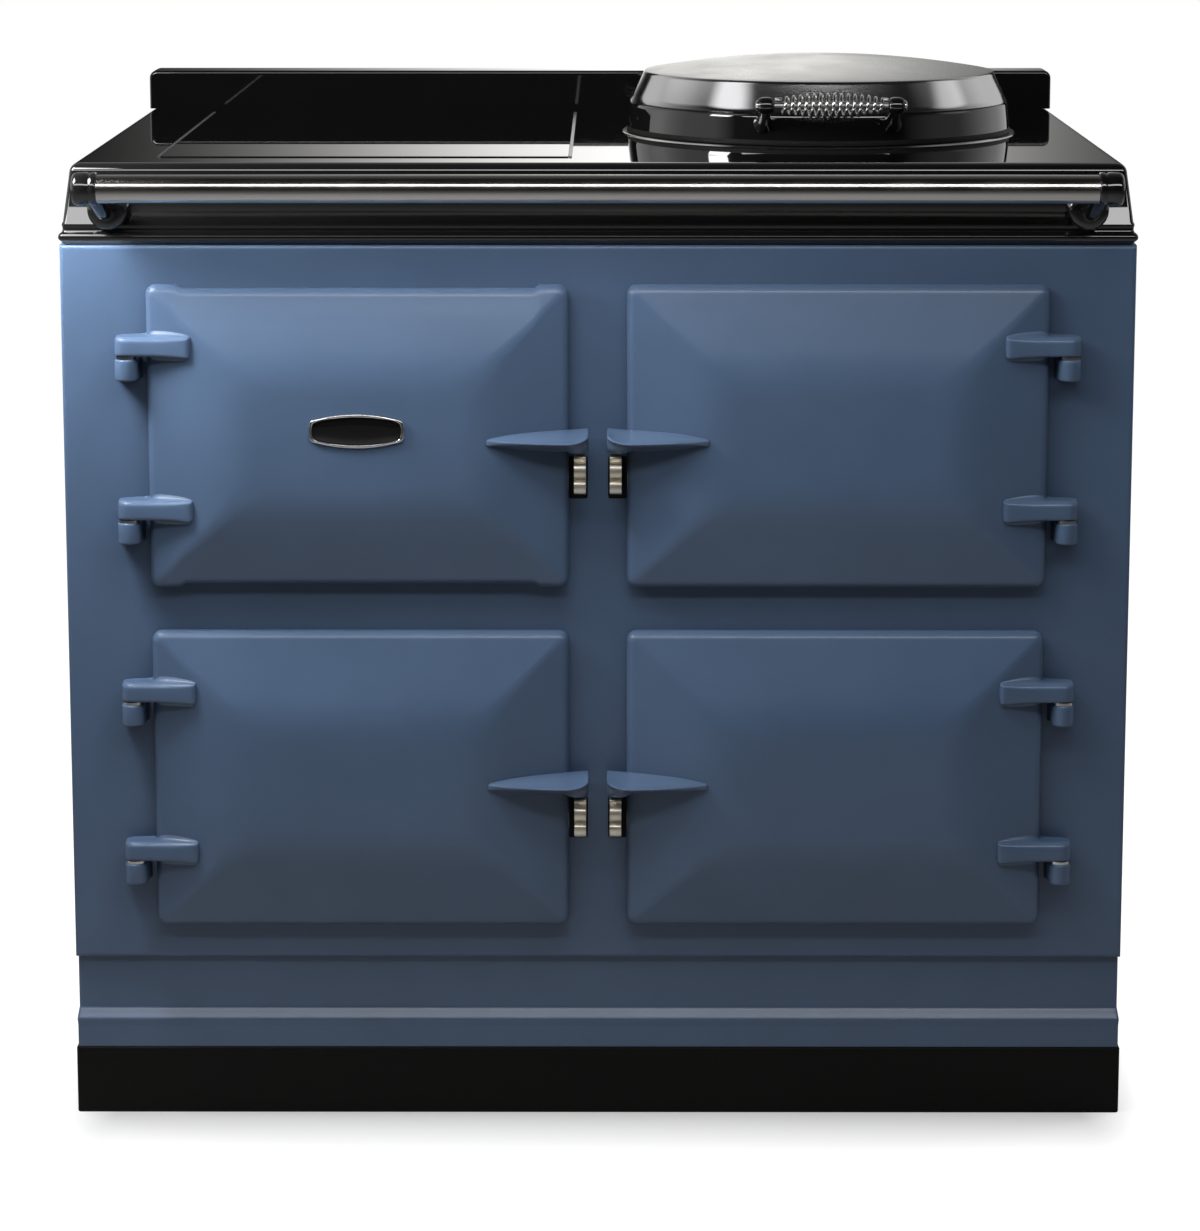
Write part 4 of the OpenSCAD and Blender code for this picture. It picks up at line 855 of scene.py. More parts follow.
# One slice of a handle per line, in millimetres: distance past the door's edge, front edge's
# proud, height of the wing's back edge and front edge, and depth of the underside's root
HANDLE_SLICES = (
    (-76, 40.2, 1.2, 0.3, 1.5), (-72, 41.6, 2.2, 0.6, 3.0), (-66, 43.8, 3.4, 0.9, 5.0),
    (-54, 47.2, 5.2, 1.0, 7.5), (-40, 49.9, 6.4, 0.9, 9.5), (-22, 51.6, 7.2, 0.6, 11.5),
    (-6, 52.2, 7.6, 0.3, 13.0), (2, 52.1, 7.8, 0.5, 13.2), (9, 51.2, 8.2, 1.6, 13.2),
    (14, 49.2, 8.6, 3.2, 13.2), (17.5, 45.8, 8.8, 5.0, 12.8), (18.8, 42.5, 8.4, 5.6, 12.2),
)


def handle_section(door, past, front, top, lip, drop, reach):
    """One slice across a handle: a sloping wing above a hollow underside."""
    x = door.width / 2 + past
    on_door = past < 0
    back = slope_at(door, x) if on_door else door.back + 9 * MM
    sunk = back - (2.5 * MM if on_door else 0.0)
    span = front - back
    full = 1.0 if on_door else 0.0
    middle, heel = (0.45, 0.80) if on_door else (0.97, 1.0)
    points = [(sunk, top + 1 * MM * full), (back + 0.06 * span, top),
              (back + 0.5 * span, (top + lip) / 2 - 0.2 * MM), (front - 0.14 * span, lip + 0.8 * MM),
              (front, lip - 0.8 * MM), (front - 0.3 * MM, lip - 2.4 * MM),
              (front - 0.12 * span, lip - 4.2 * MM),
              (back + (0.55 if on_door else 0.78) * span, min(-drop * middle, lip - 5.0 * MM)),
              (back + 0.22 * span, -drop * heel), (back + 0.06 * span, -drop), (sunk, -drop - 1 * MM * full)]
    return [Vector((min(x, door.width / 2 + reach), -proud, up)) for proud, up in points]


class COOKER_OT_handles(bpy.types.Operator):
    """Adds the winged handle of every door"""
    bl_idname = "cooker.handles"
    bl_label = "Handles"

    def execute(self, context):
        door = context.scene.cooker_doors
        reach = context.scene.cooker_arms.handle_reach
        for name, (body, _, _) in DOORS.items():
            bm = bmesh.new()
            loft(bm, [handle_section(door, *line, reach) for line in mm(HANDLE_SLICES)])
            place_door_piece(bm, name)
            publish(bm, name + "_handle", body, blue_enamel(), smooth=60, subdivide=2)
        return {"FINISHED"}


class COOKER_OT_hinge_lugs(bpy.types.Operator):
    """Adds the fixed lugs that carry the door pins"""
    bl_idname = "cooker.hinge_lugs"
    bl_label = "Hinge lugs"

    def execute(self, context):
        arm = context.scene.cooker_arms
        bm = bmesh.new()
        drop = arm.arm_height + 2.8 * MM
        for _, hinge, _ in DOORS.values():
            axis = pivot(hinge)
            for top in (arm.arm_high - drop, -arm.arm_low - drop):
                wide = arm.barrel - 0.5 * MM
                plan = [(wide * math.cos(a), -arm.axis_out - arm.barrel * math.sin(a))
                        for a in spread(0, PI, 13)]
                plan += [(-wide, -5 * MM), (-wide - 2 * MM, 0.0), (wide + 2 * MM, 0.0), (wide, -5 * MM)]
                outline = [Vector((axis.x + x, FACE_Y + y, axis.z + top - arm.lug_height)) for x, y in plan]
                slab(bm, outline, (0, 0, arm.lug_height))
        soften(bm, 2.2 * MM, 4, 40, lambda e: max(v.co.y for v in e.verts) < FACE_Y - 0.5 * MM)
        publish(bm, "hinge_lug_castings", "cabinet", blue_enamel(), ["hinge_lugs"], smooth=28)
        return {"FINISHED"}


CATCH_HALF = 5.5 * MM
# The catch's outline in millimetres: proud of the casting's face, and up from the catch's top.
# It runs from the foot over the upper curl, down past the notch and round the lower curl.
CATCH_OUTLINE = mm([
    (4.0, 0.0), (4.0, -1.0), (29.0, -1.0), *arc(31.0, -3.0, 2.2, 1.3, -1.3, 6), (31.0, -6.6),
    (37.6, -7.0), (39.8, -8.0), (41.0, -10.0), (41.6, -13.0), (41.5, -16.0), (40.6, -18.2),
    (38.6, -19.6), (34.0, -20.2), (34.0, -22.4), (38.6, -22.8), (40.6, -24.0), (41.3, -26.0),
    (41.4, -29.0), (40.8, -32.0), (39.4, -34.2), (37.0, -35.5), (29.0, -36.0), (27.0, -34.0),
    (27.0, -23.0), (4.0, -20.0), (4.0, -36.0), (0.0, -36.0), (0.0, 0.0)])
# Size of the flat black plate behind each catch: painted shade standing in for the dark gap round the catch
SHADE_PLATE_WIDTH = 18 * MM
SHADE_PLATE_HEIGHT = 40 * MM


class COOKER_OT_catches(bpy.types.Operator):
    """Adds the curled nickel catch under every handle, and a painted shade plate behind each"""
    bl_idname = "cooker.catches"
    bl_label = "Catches"

    def execute(self, context):
        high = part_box("catches")[1]
        across = high.x - CATCH_HALF
        bm = bmesh.new()
        for _, hinge, side in DOORS.values():
            top = pivot(hinge).z - (pivot("upper_left_door_hinge").z - high.z)
            outline = [Vector((side * across - CATCH_HALF, FACE_Y - proud, top + up))
                       for proud, up in CATCH_OUTLINE]
            slab(bm, outline, (2 * CATCH_HALF, 0, 0))
        soften(bm, 0.6 * MM, 2, 60)
        publish(bm, "curled_catches", "cabinet", satin_nickel(), ["catches"], smooth=40)
        # A thin matte black plate on the casting's face behind each catch is painted shade, standing in for
        # the dark gap there
        bm = bmesh.new()
        for _, hinge, side in DOORS.values():
            middle = pivot(hinge).z - SHADE_PLATE_HEIGHT
            outline = [Vector((side * (across + 2 * MM) + x, FACE_Y, middle + z))
                       for x, z in rounded(SHADE_PLATE_WIDTH, SHADE_PLATE_HEIGHT, 2 * MM, 3)]
            slab(bm, outline, (0, -0.4 * MM, 0))
        publish(bm, "catch_slots", "cabinet", plinth_paint(), smooth=30)
        return {"FINISHED"}


PLATE_CORNER = 2.2 * MM
PLATE_BOW = 1.2 * MM
# (inset, proud) of the plate's bright rim and of its dark field, in millimetres
PLATE_RIM = mm([(0, 0), (0, 2.0), (0.7, 2.8), (2.2, 3.0), (2.9, 2.4), (3.1, 1.4), (3.1, 0)])
PLATE_FIELD = mm([(3.1, 0), (3.1, 1.2), (5, 1.7), (10, 2.1)])


def plate_outline(half_width, half_height):
    """Points (x, z) of a long plate with bowed edges: blunt at the ends, tallest in the middle."""
    shoulder = half_height * 0.60
    edge_x = half_width - PLATE_BOW
    straight = shoulder - PLATE_CORNER
    right = [(half_width - PLATE_BOW * (z / shoulder) ** 2, z) for z in spread(-straight, straight, 9)]
    turn_in = [(edge_x - PLATE_CORNER * 0.12, shoulder - PLATE_CORNER * 0.45),
               (edge_x - PLATE_CORNER * 0.5, shoulder)]
    end_x = edge_x - PLATE_CORNER * 1.2
    top = [(x, shoulder + (half_height - shoulder) * (1 - (x / edge_x) ** 2))
           for x in spread(end_x, -end_x, 21)]
    left_end = [(-x, z) for x, z in reversed(turn_in)]
    left = [(-x, z) for x, z in reversed(right)]
    under = [(x, -z) for x, z in left_end[::-1]] + [(-x, -z) for x, z in top + left_end]
    return right + turn_in + top + left_end + left + under


class COOKER_OT_badge(bpy.types.Operator):
    """Adds the bare oval plate: a bright rim round a dark, plain middle"""
    bl_idname = "cooker.badge"
    bl_label = "Bare plate"

    def execute(self, context):
        self.plate_part("plate_rim", PLATE_RIM, chrome(), "chrome", ["badge_plate"])
        self.plate_part("plate_field", PLATE_FIELD, black_enamel(), "enamel_black", [])
        return {"FINISHED"}

    def plate_part(self, name, rings, finish, slot, replaced):
        """The open rim, which is joined back to its own foot, or the closed field."""
        low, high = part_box("badge_plate")
        centre = (low + high) / 2
        width, _, height = high - low
        sections = []
        for inset, proud in rings:
            outline = plate_outline(width / 2 - inset, height / 2 - inset)
            sections.append([Vector((centre.x + x, high.y - proud, centre.z + z)) for x, z in outline])
        bm = bmesh.new()
        loft(bm, sections, caps=not replaced)
        if replaced:
            bmesh.ops.bridge_loops(bm, edges=[e for e in bm.edges if len(e.link_faces) == 1])
        publish(bm, name, "upper_left_door", finish, replaced, smooth=50)


# The pan's section in millimetres: inset from the flange's edge, and depth behind its front face
PAN_WALLS = ((6.5, 0.0), (0.0, 0.0), (0.0, 1.5), (4.8, 1.5), (5.6, 2.4), (5.8, 23.0), (7.6, 26.4),
             (10.0, 27.3), (22.0, 27.3), (25.0, 26.6), (28.0, 24.4), (31.0, 23.8), (34.0, 23.8))


class COOKER_OT_door_pans(bpy.types.Operator):
    """Adds the pressed pan on the inside of every door"""
    bl_idname = "cooker.door_pans"
    bl_label = "Door pans"

    def execute(self, context):
        for name, (body, _, _) in DOORS.items():
            node = name + "_pan"
            low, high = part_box(node)
            centre = (low + high) / 2
            width, height = high.x - low.x, high.z - low.z
            bm = bmesh.new()
            sections = []
            for inset, deep in mm(PAN_WALLS):
                radius = max(9 * MM - inset * 0.3, 3 * MM)
                outline = rounded(width - 2 * inset, height - 2 * inset, radius)
                sections.append([Vector((centre.x + x, low.y + deep, centre.z + z)) for x, z in outline])
            loft(bm, sections)
            finish = oven_enamel() if name == "control_door" else brushed_steel()
            publish(bm, node + "_pressing", body, finish, [node], smooth=40)
        return {"FINISHED"}


class COOKER_OT_door_seals(bpy.types.Operator):
    """Adds the woven rope round every opening"""
    bl_idname = "cooker.door_seals"
    bl_label = "Rope seals"

    def execute(self, context):
        door = context.scene.cooker_doors
        low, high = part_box("door_seals")
        thick = high.y - low.y
        inner, wide = 3 * MM, 8 * MM
        bm = bmesh.new()
        for _, hinge, side in DOORS.values():
            middle = door_middle(hinge, side)
            sections = []
            for a in around(14):
                out = inner + wide / 2 + wide / 2 * math.cos(a)
                proud = thick / 2 + thick / 2 * math.sin(a)
                outline = rounded(door.opening_width + 2 * out, door.opening_height + 2 * out,
                                  door.corner + out)
                sections.append([middle + Vector((x, -proud, z)) for x, z in outline])
            rows = loft(bm, sections, caps=False)
            bmesh.ops.bridge_loops(bm, edges=edges_of(bm, rows[0]) + edges_of(bm, rows[-1]))
        publish(bm, "rope_seals", "cabinet", rope(), ["door_seals"], smooth=60)
        return {"FINISHED"}


# ---------------------------------------------------------------- body


def moulding(bm, profile, half, face_y, back_y, corner):
    """Runs a profile of (front out, side out, z) round the left, front and right sides.

    Returns one row of vertices per station, from the back left to the back right."""
    rows = []
    stations = [(-1, None)] + [(-1, a) for a in spread(0, QUARTER, 4)]
    stations += [(1, a) for a in spread(QUARTER, 0, 4)] + [(1, None)]
    for side, a in stations:
        points = []
        for front_out, side_out, z in profile:
            edge_x = half + side_out
            edge_y = face_y - front_out
            if a is None:
                points.append(Vector((side * edge_x, back_y, z)))
            else:
                points.append(Vector((side * (edge_x - corner + corner * math.cos(a)),
                                      edge_y + corner - corner * math.sin(a), z)))
        rows.append(grow(bm, rows[-1], points, False) if rows else row(bm, points, False))
    return rows


def fill_flat(bm, edges):
    """Fills a flat outline that may have holes in it."""
    bmesh.ops.triangle_fill(bm, edges=edges, use_beauty=True)


class COOKER_OT_front(bpy.types.Operator):
    """Casts the blue front with its four openings"""
    bl_idname = "cooker.front"
    bl_label = "Front casting"

    def execute(self, context):
        door = context.scene.cooker_doors
        bm = bmesh.new()
        centre_z = (SKIRT_TOP_Z + HOB_LOW_Z) / 2
        width, height = 2 * BODY_HALF, HOB_LOW_Z - SKIRT_TOP_Z
        deep = CASTING_HIGH.y - FACE_Y
        edge = 3.5 * MM
        rings = [(0.0, -deep)] + arc(edge, -edge, edge, PI, QUARTER, 6) + [(edge + 2 * MM, 0.0)]
        sections = [standing(rounded(width - 2 * inset, height - 2 * inset, 0.6 * MM, 2), proud)
                    for inset, proud in rings]
        rows = loft(bm, sections, caps=False)
        for end in (rows[0], rows[-1]):
            proud = -end[0].co.y
            edges = edges_of(bm, end)
            for _, hinge, side in DOORS.values():
                middle = door_middle(hinge, side)
                outline = [(middle.x + x, middle.z - centre_z + z)
                           for x, z in rounded(door.opening_width, door.opening_height, door.corner)]
                edges += edges_of(bm, row(bm, standing(outline, proud)))
            fill_flat(bm, edges)
        walls = [e for e in bm.edges if len(e.link_faces) == 1]
        for _, hinge, side in DOORS.values():
            middle = door_middle(hinge, side)
            here = [e for e in walls if abs(e.verts[0].co.x - middle.x) < door.width / 2
                    and abs(e.verts[0].co.z + centre_z - middle.z) < door.height / 2]
            bmesh.ops.bridge_loops(bm, edges=here)
        move(bm, (0, FACE_Y, centre_z))
        publish(bm, "front_plate", "cabinet", blue_enamel(), ["front_casting"], smooth=40)
        return {"FINISHED"}


FIELD_IN = 7 * MM
FIELD_SIDE_IN = 1.5 * MM
FOOT_IN = 0.5 * MM
# Slope of the skirt's bead: (lean in degrees, share of its height), rounded at both ends
BEAD_SLOPE = ((8, 0.6), (20, 0.6), (31, 0.8), (34, 2.4), (35.5, 2.4), (36, 2.4), (31, 0.8), (20, 0.6),
              (8, 0.6))


class COOKER_OT_skirt(bpy.types.Operator):
    """Runs the skirt moulding: a set-back field, a sloping bead and a flat foot"""
    bl_idname = "cooker.skirt"
    bl_label = "Skirt moulding"

    def execute(self, context):
        low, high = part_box("skirt_moulding")
        foot, top = low.z, high.z
        bead = foot + 0.3 * (top - foot)
        # (front, side, z) from the foot up to the top of the field
        profile = [(-12 * MM, -12 * MM, foot), (-0.9 * MM, -0.9 * MM, foot),
                   (-FOOT_IN, -FOOT_IN, foot + 0.5 * MM), (-FOOT_IN, -FOOT_IN, bead - 7 * MM)]
        for t in spread(0, 1, 6):
            profile.append((FOOT_IN * (t - 1), FOOT_IN * (t - 1), bead - 6 * MM + 6 * MM * t))
        reach = sum(rise * math.tan(math.radians(lean)) for lean, rise in BEAD_SLOPE)
        inward, upward = 0.0, bead
        for lean, rise in BEAD_SLOPE:
            inward += FIELD_IN * rise * math.tan(math.radians(lean)) / reach
            upward += FIELD_IN * rise / reach
            profile.append((-inward, -inward * FIELD_SIDE_IN / FIELD_IN, upward))
        profile += [(-FIELD_IN, -FIELD_SIDE_IN, z) for z in (upward + 3 * MM, top - 3 * MM, top - 0.2 * MM)]
        profile.append((-FIELD_IN - 6 * MM, -FIELD_SIDE_IN - 6 * MM, top - 0.2 * MM))
        bm = bmesh.new()
        moulding(bm, profile, BODY_HALF, FACE_Y, BACK_Y - 2 * MM, 2.5 * MM)
        publish(bm, "skirt_run", "cabinet", blue_enamel(), ["skirt_moulding"],
                smooth=32, wall=4 * MM)
        return {"FINISHED"}


class COOKER_OT_plinth(bpy.types.Operator):
    """Folds the black plinth with its rounded edges and inner flanges"""
    bl_idname = "cooker.plinth"
    bl_label = "Plinth"

    def execute(self, context):
        low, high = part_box("plinth")
        half = high.x
        lip = FACE_Y - low.y
        top = high.z
        edge = arc(-1.5 * MM, 1.5 * MM, 1.5 * MM, -QUARTER, 0, 4)
        profile = [(-25 * MM, 0.0), (-1.6 * MM, 0.0)] + edge + [(0.0, 2.5 * MM), (0.0, top - 2.5 * MM)]
        profile += [(u, top - v) for u, v in reversed(edge)] + [(-25 * MM, top)]
        profile = [(out + lip, out, z) for out, z in profile]
        bm = bmesh.new()
        rows = moulding(bm, profile, half, FACE_Y, high.y, 2.5 * MM)
        ends = edges_of(bm, rows[0][1:-1], False) + edges_of(bm, rows[-1][1:-1], False)
        bmesh.ops.bridge_loops(bm, edges=ends)
        publish(bm, "plinth_fold", "cabinet", plinth_paint(), ["plinth"],
                smooth=40, wall=2.5 * MM)
        return {"FINISHED"}


# The moulding between the hob's bead and its roll, in millimetres: out from the body, up from its
# foot; then the hotplate's hole, the turned-down lip of both holes and the gap round the glass
HOB_COVE = mm([(-2.6, 12.6), (-3.0, 15.0), (-2.7, 16.6), (-2.2, 18.0), (-2.4, 19.4), (-3.4, 21.2)])
PLATE_HOLE_R = 184 * MM
HOLE_LIP = Vector((0, 0, 4 * MM))
GLASS_GAP = 0.2 * MM


class COOKER_OT_hob(bpy.types.Operator):
    """Casts the black hob with its rolled edge, bead, and the holes for glass and hotplate"""
    bl_idname = "cooker.hob"
    bl_label = "Hob casting"

    def execute(self, context):
        hob = context.scene.cooker_hob
        inset = BODY_HALF - hob.width / 2
        base = HOB_LOW_Z
        bead = hob.bead
        roll = hob.roll
        profile = [(-10 * MM, base), (-4.0 * MM, base), (-2.6 * MM, base + 1.2 * MM)]
        profile += arc(1 * MM - bead, base + 1.6 * bead, bead, -1.15, 1.15, 9)
        profile += [(out, base + up) for out, up in HOB_COVE]
        profile += arc(-inset - 3 * MM - roll / 2, HOB_Z - roll, roll, 0.12, QUARTER, 10)
        shoulder = profile[-1][0]
        profile += [(shoulder - 2 * MM, HOB_Z)]
        bm = bmesh.new()
        rows = moulding(bm, [(out, out, z) for out, z in profile], BODY_HALF, FACE_Y, BACK_Y, hob.plan_corner)
        bmesh.ops.bridge_loops(bm, edges=edges_of(bm, rows[0], False) + edges_of(bm, rows[-1], False))
        edges = edges_of(bm, [line[-1] for line in rows])
        glass_low, glass_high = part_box("hob_glass")
        glass = (glass_low + glass_high) / 2
        width, depth, _ = glass_high - glass_low
        glass_hole = [Vector((glass.x + x, glass.y + y, HOB_Z)) for x, y in
                      rounded(width + 2 * GLASS_GAP, depth + 2 * GLASS_GAP, 1 * MM, 2)]
        plate_low, plate_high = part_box("hotplate_element")
        plate = (plate_low + plate_high) / 2
        plate_hole = [Vector((plate.x + x, plate.y + y, HOB_Z))
                      for x, y in arc(0, 0, PLATE_HOLE_R, 0, 2 * PI, 97)[:-1]]
        for outline in (glass_hole, plate_hole):
            lip = row(bm, outline)
            grow(bm, lip, [point - HOLE_LIP for point in outline])
            edges += edges_of(bm, lip)
        fill_flat(bm, edges)
        publish(bm, "hob_surface", "cabinet", black_enamel(), ["top_casting"], smooth=32,
                wall=hob.wall)
        return {"FINISHED"}


class COOKER_OT_upstand(bpy.types.Operator):
    """Casts the raised strip at the back of the hob"""
    bl_idname = "cooker.upstand"
    bl_label = "Upstand"

    def execute(self, context):
        low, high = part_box("upstand")
        hob = context.scene.cooker_hob
        middle = (low.x + high.x) / 2
        half = (high.x - low.x) / 2
        tall = high.z - low.z
        edge = 3.0 * MM
        sections = []
        # (y, inset) round the front edge, then round the back edge
        stations = [(low.y, edge + 2 * MM), (low.y, edge)]
        stations += [(low.y + edge - edge * math.cos(a), edge - edge * math.sin(a))
                     for a in spread(0.3, QUARTER, 5)]
        stations += [(high.y - edge + edge * math.sin(a), edge - edge * math.cos(a))
                     for a in spread(0, QUARTER, 5)]
        stations += [(high.y, edge + 2 * MM)]
        for y, inset in stations:
            radius = max(hob.upstand_corner - inset, 1 * MM)
            wide, up = half - inset, tall - inset
            outline = [(-wide, 0.0), (wide, 0.0)]
            outline += arc(wide - radius, up - radius, radius, 0, QUARTER, 7)
            outline += arc(radius - wide, up - radius, radius, QUARTER, PI, 7)
            sections.append([Vector((middle + x, y, low.z + z)) for x, z in outline])
        bm = bmesh.new()
        loft(bm, sections)
        publish(bm, "back_upstand", "cabinet", black_enamel(), ["upstand"], smooth=32)
        return {"FINISHED"}


# (radius, out) of a pan-head screw, in millimetres
SCREW = mm([(0, -1.3), (1.2, -1.3), (1.5, -0.3), (3.0, -0.5), (4.2, -1.2), (4.2, -2.0), (0, -2.0)])
SCREW_INSET = 14 * MM


class COOKER_OT_back(bpy.types.Operator):
    """Adds the screws of the back panel"""
    bl_idname = "cooker.back"
    bl_label = "Back panel screws"

    def execute(self, context):
        low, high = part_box("back_panel")
        bm = bmesh.new()
        xs = spread(low.x + SCREW_INSET, high.x - SCREW_INSET, 6)
        zs = spread(low.z + SCREW_INSET, high.z - SCREW_INSET, 5)
        places = [(x, z) for x in xs for z in (zs[0], zs[-1])]
        places += [(x, z) for x in (xs[0], xs[-1]) for z in zs[1:-1]]
        for x, z in places:
            verts = lathe(bm, SCREW, 20, "Y")
            move(bm, (x, high.y + 0.6 * MM, z), verts)
        publish(bm, "back_screws", "cabinet", nickel(), smooth=30)
        return {"FINISHED"}


# ---------------------------------------------------------------- handrail


class COOKER_OT_rail(bpy.types.Operator):
    """Adds the brushed rail and its two cast brackets"""
    bl_idname = "cooker.rail"
    bl_label = "Handrail"

    def execute(self, context):
        rail = context.scene.cooker_rail
        low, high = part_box("handrail")
        middle = (low + high) / 2
        half = high.x
        bm = bmesh.new()
        tube = [(rail.radius - 1.5 * MM, -half), (rail.radius, -half)]
        tube += [(rail.radius, x) for x in spread(-half, half, 5)[1:]] + [(rail.radius - 1.5 * MM, half)]
        lathe(bm, tube, 64, "X")
        move(bm, (0, middle.y, middle.z))
        publish(bm, "rail_tube", "cabinet", rail_steel(), ["handrail"], smooth=40)
        bm = bmesh.new()
        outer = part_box("rail_brackets")[1].x
        for side in (-1, 1):
            verts = bracket(bm, rail, middle, outer)
            if side < 0:
                mirror(bm, verts)
        publish(bm, "cast_brackets", "cabinet", black_enamel(), ["rail_brackets"], smooth=50)
        return {"FINISHED"}


# A bracket's arm, in millimetres: y from the face, z from the foot, half width and half height
BRACKET_ARM = mm([(4, 0, 12, 12), (-4, 0, 10.5, 11.5), (-12, 1, 8.5, 10), (-22, 5, 7.6, 8.6),
                  (-32, 11, 7.6, 8), (-41, 17, 8, 8.4), (-47, 21, 8, 8)])
BRACKET_SWING = 9 * MM
CUP_FLOOR = 9 * MM
CUP_ROUND = 5 * MM


def bracket(bm, rail, middle, outer):
    """The right-hand bracket: a cup on the rail's end, an arm and a round foot."""
    inner = outer - rail.cup_length
    cup = rail.cap
    bore = rail.radius + 0.1 * MM
    # (in from the cup's radius, along from its mouth) of the two beads round the cup, in millimetres
    beads = mm([(1.4, -0.6), (0.3, 0.4), (0, 2), (0, 4.6), (0.8, 5.6), (0.8, 7), (0, 8)])
    profile = [(bore, inner + CUP_FLOOR), (bore, inner)]
    profile += [(cup - inset, inner + along) for inset, along in beads]
    profile.append((cup, outer - CUP_ROUND))
    profile += arc(cup - CUP_ROUND, outer - CUP_ROUND, CUP_ROUND, 0.25, QUARTER, 6)
    profile += [(CUP_ROUND, outer), (0.0, outer), (0.0, inner + CUP_FLOOR)]
    verts = lathe(bm, profile, 48, "X")
    move(bm, (0, middle.y, middle.z), verts)
    foot_x = outer - 25.5 * MM
    foot_z = middle.z - 24 * MM
    sections = []
    start, end = BRACKET_ARM[0][0], BRACKET_ARM[-1][0]
    for y, z, wide, tall in BRACKET_ARM:
        centre = Vector((foot_x + BRACKET_SWING * (start - y) / (start - end), FACE_Y + y, foot_z + z))
        sections.append([centre + Vector((wide * math.cos(a), 0, tall * math.sin(a)))
                         for a in around(20)])
    before = set(bm.verts)
    loft(bm, sections)
    verts += [v for v in bm.verts if v not in before]
    rim = rail.foot + 4 * MM
    disc = lathe(bm, [(0.0, 8 * MM), (rim, 8 * MM), (rim, -1 * MM), (rim - 1 * MM, -4 * MM),
                      (rail.foot, -6 * MM), (rail.foot - 3 * MM, -7 * MM), (0.0, -7 * MM)], 48, "Y")
    move(bm, (foot_x, FACE_Y, foot_z), disc)
    return verts + disc


# ---------------------------------------------------------------- lid


def finish_below(piece, finish, z):
    """Gives the faces below a height another finish."""
    piece.data.materials.append(finish)
    for face in piece.data.polygons:
        face.material_index = int(face.center.z < z)


def lid_place():
    """The lid's middle on the hob surface."""
    low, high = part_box("lid_liner")
    return Vector(((low.x + high.x) / 2, (low.y + high.y) / 2, HOB_Z))


# In millimetres: the turn from the top to the bevel (out, down), the turn from the bevel to the
# seam (inset, up), and the ring at the foot of the skirt (inset, up)
LID_CORNER = mm([(1.2, 0.3), (2.2, 1.2), (3.0, 2.8), (3.4, 4.5)])
LID_SHOULDER = mm([(7.4, 8), (6.6, 5.6), (5.4, 3.2), (4.2, 1.2), (3.6, 0.5)])
LID_RING = mm([(12, 0), (0.4, 0), (0, 0.6), (0, 2.6), (0.5, 3.4), (0.9, 5)])
LID_SHEET = 2.2 * MM
SKIRT_LEAN = 2.3 * MM
RING_HEIGHT = 4.5 * MM


class COOKER_OT_lid(bpy.types.Operator):
    """Spins the bright dome, its black skirt and the foot ring"""
    bl_idname = "cooker.lid"
    bl_label = "Lid"

    def execute(self, context):
        lid = context.scene.cooker_lid
        seam = lid.skirt
        brow = seam + lid.bevel
        top_r = lid.radius - lid.top_in
        sphere = (top_r ** 2 + lid.crown ** 2) / (2 * lid.crown)
        reach = math.asin(top_r / sphere)
        dome = [(sphere * math.sin(a), brow + lid.crown - sphere + sphere * math.cos(a))
                for a in spread(0, reach, 22)]
        corner = [(top_r + out, brow - down) for out, down in LID_CORNER]
        shoulder = [(lid.radius - inset, seam + up) for inset, up in LID_SHOULDER]
        outside = dome + corner + shoulder
        inside = [(r - LID_SHEET, z - LID_SHEET * 0.8) for r, z in reversed(corner + shoulder)]
        inside[0] = (shoulder[-1][0] - LID_SHEET, shoulder[-1][1])
        inside += [(r * (sphere - LID_SHEET) / sphere, z - LID_SHEET) for r, z in reversed(dome)]
        place = lid_place()
        bm = bmesh.new()
        lathe(bm, outside + inside, 128)
        move(bm, place)
        cover = publish(bm, "lid_cover", "lid", brushed_lid(), ["lid_dome"], smooth=38)
        finish_below(cover, chrome(), HOB_Z + brow - 0.5 * MM)
        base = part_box("lid_skirt")[0].z - HOB_Z
        skirt = [(lid.radius - inset, base + up) for inset, up in LID_RING]
        ring_r, ring_z = skirt[-1]
        rise = seam - 1.6 * MM - ring_z
        skirt += [(ring_r - SKIRT_LEAN * t ** 1.4, ring_z + rise * t) for t in spread(0.15, 1, 8)]
        skirt += [(lid.radius - 4.2 * MM, seam - 0.4 * MM), (lid.radius - 6 * MM, seam),
                  (lid.radius - 12 * MM, seam)]
        bm = bmesh.new()
        lathe(bm, skirt, 128)
        move(bm, place)
        foot = publish(bm, "lid_foot", "lid", black_enamel(), ["lid_skirt"], smooth=38)
        finish_below(foot, plinth_paint(), HOB_Z + base + RING_HEIGHT)
        return {"FINISHED"}


# In millimetres: (radius, along) of a post's head and of the bright cap on the rod's end
POST_HEAD = mm([(0, -8), (4.5, -8), (6.8, -6.6), (8, -3.6), (8.2, 0), (8, 3.6), (6.8, 6.6), (4.5, 8), (0, 8)])
ROD_CAP = mm([(0, 0), (5.2, 0), (5.2, 1), (4.6, 1.9), (2.6, 2.5), (0, 2.7)])
# How far along a post's stem, and its radius there in millimetres
POST_STEM = ((0.08, 6.4), (0.25, 5.8), (0.5, 5.6), (0.75, 6.4), (0.9, 7.8), (1.0, 9.5))
CURL_STEPS = 28


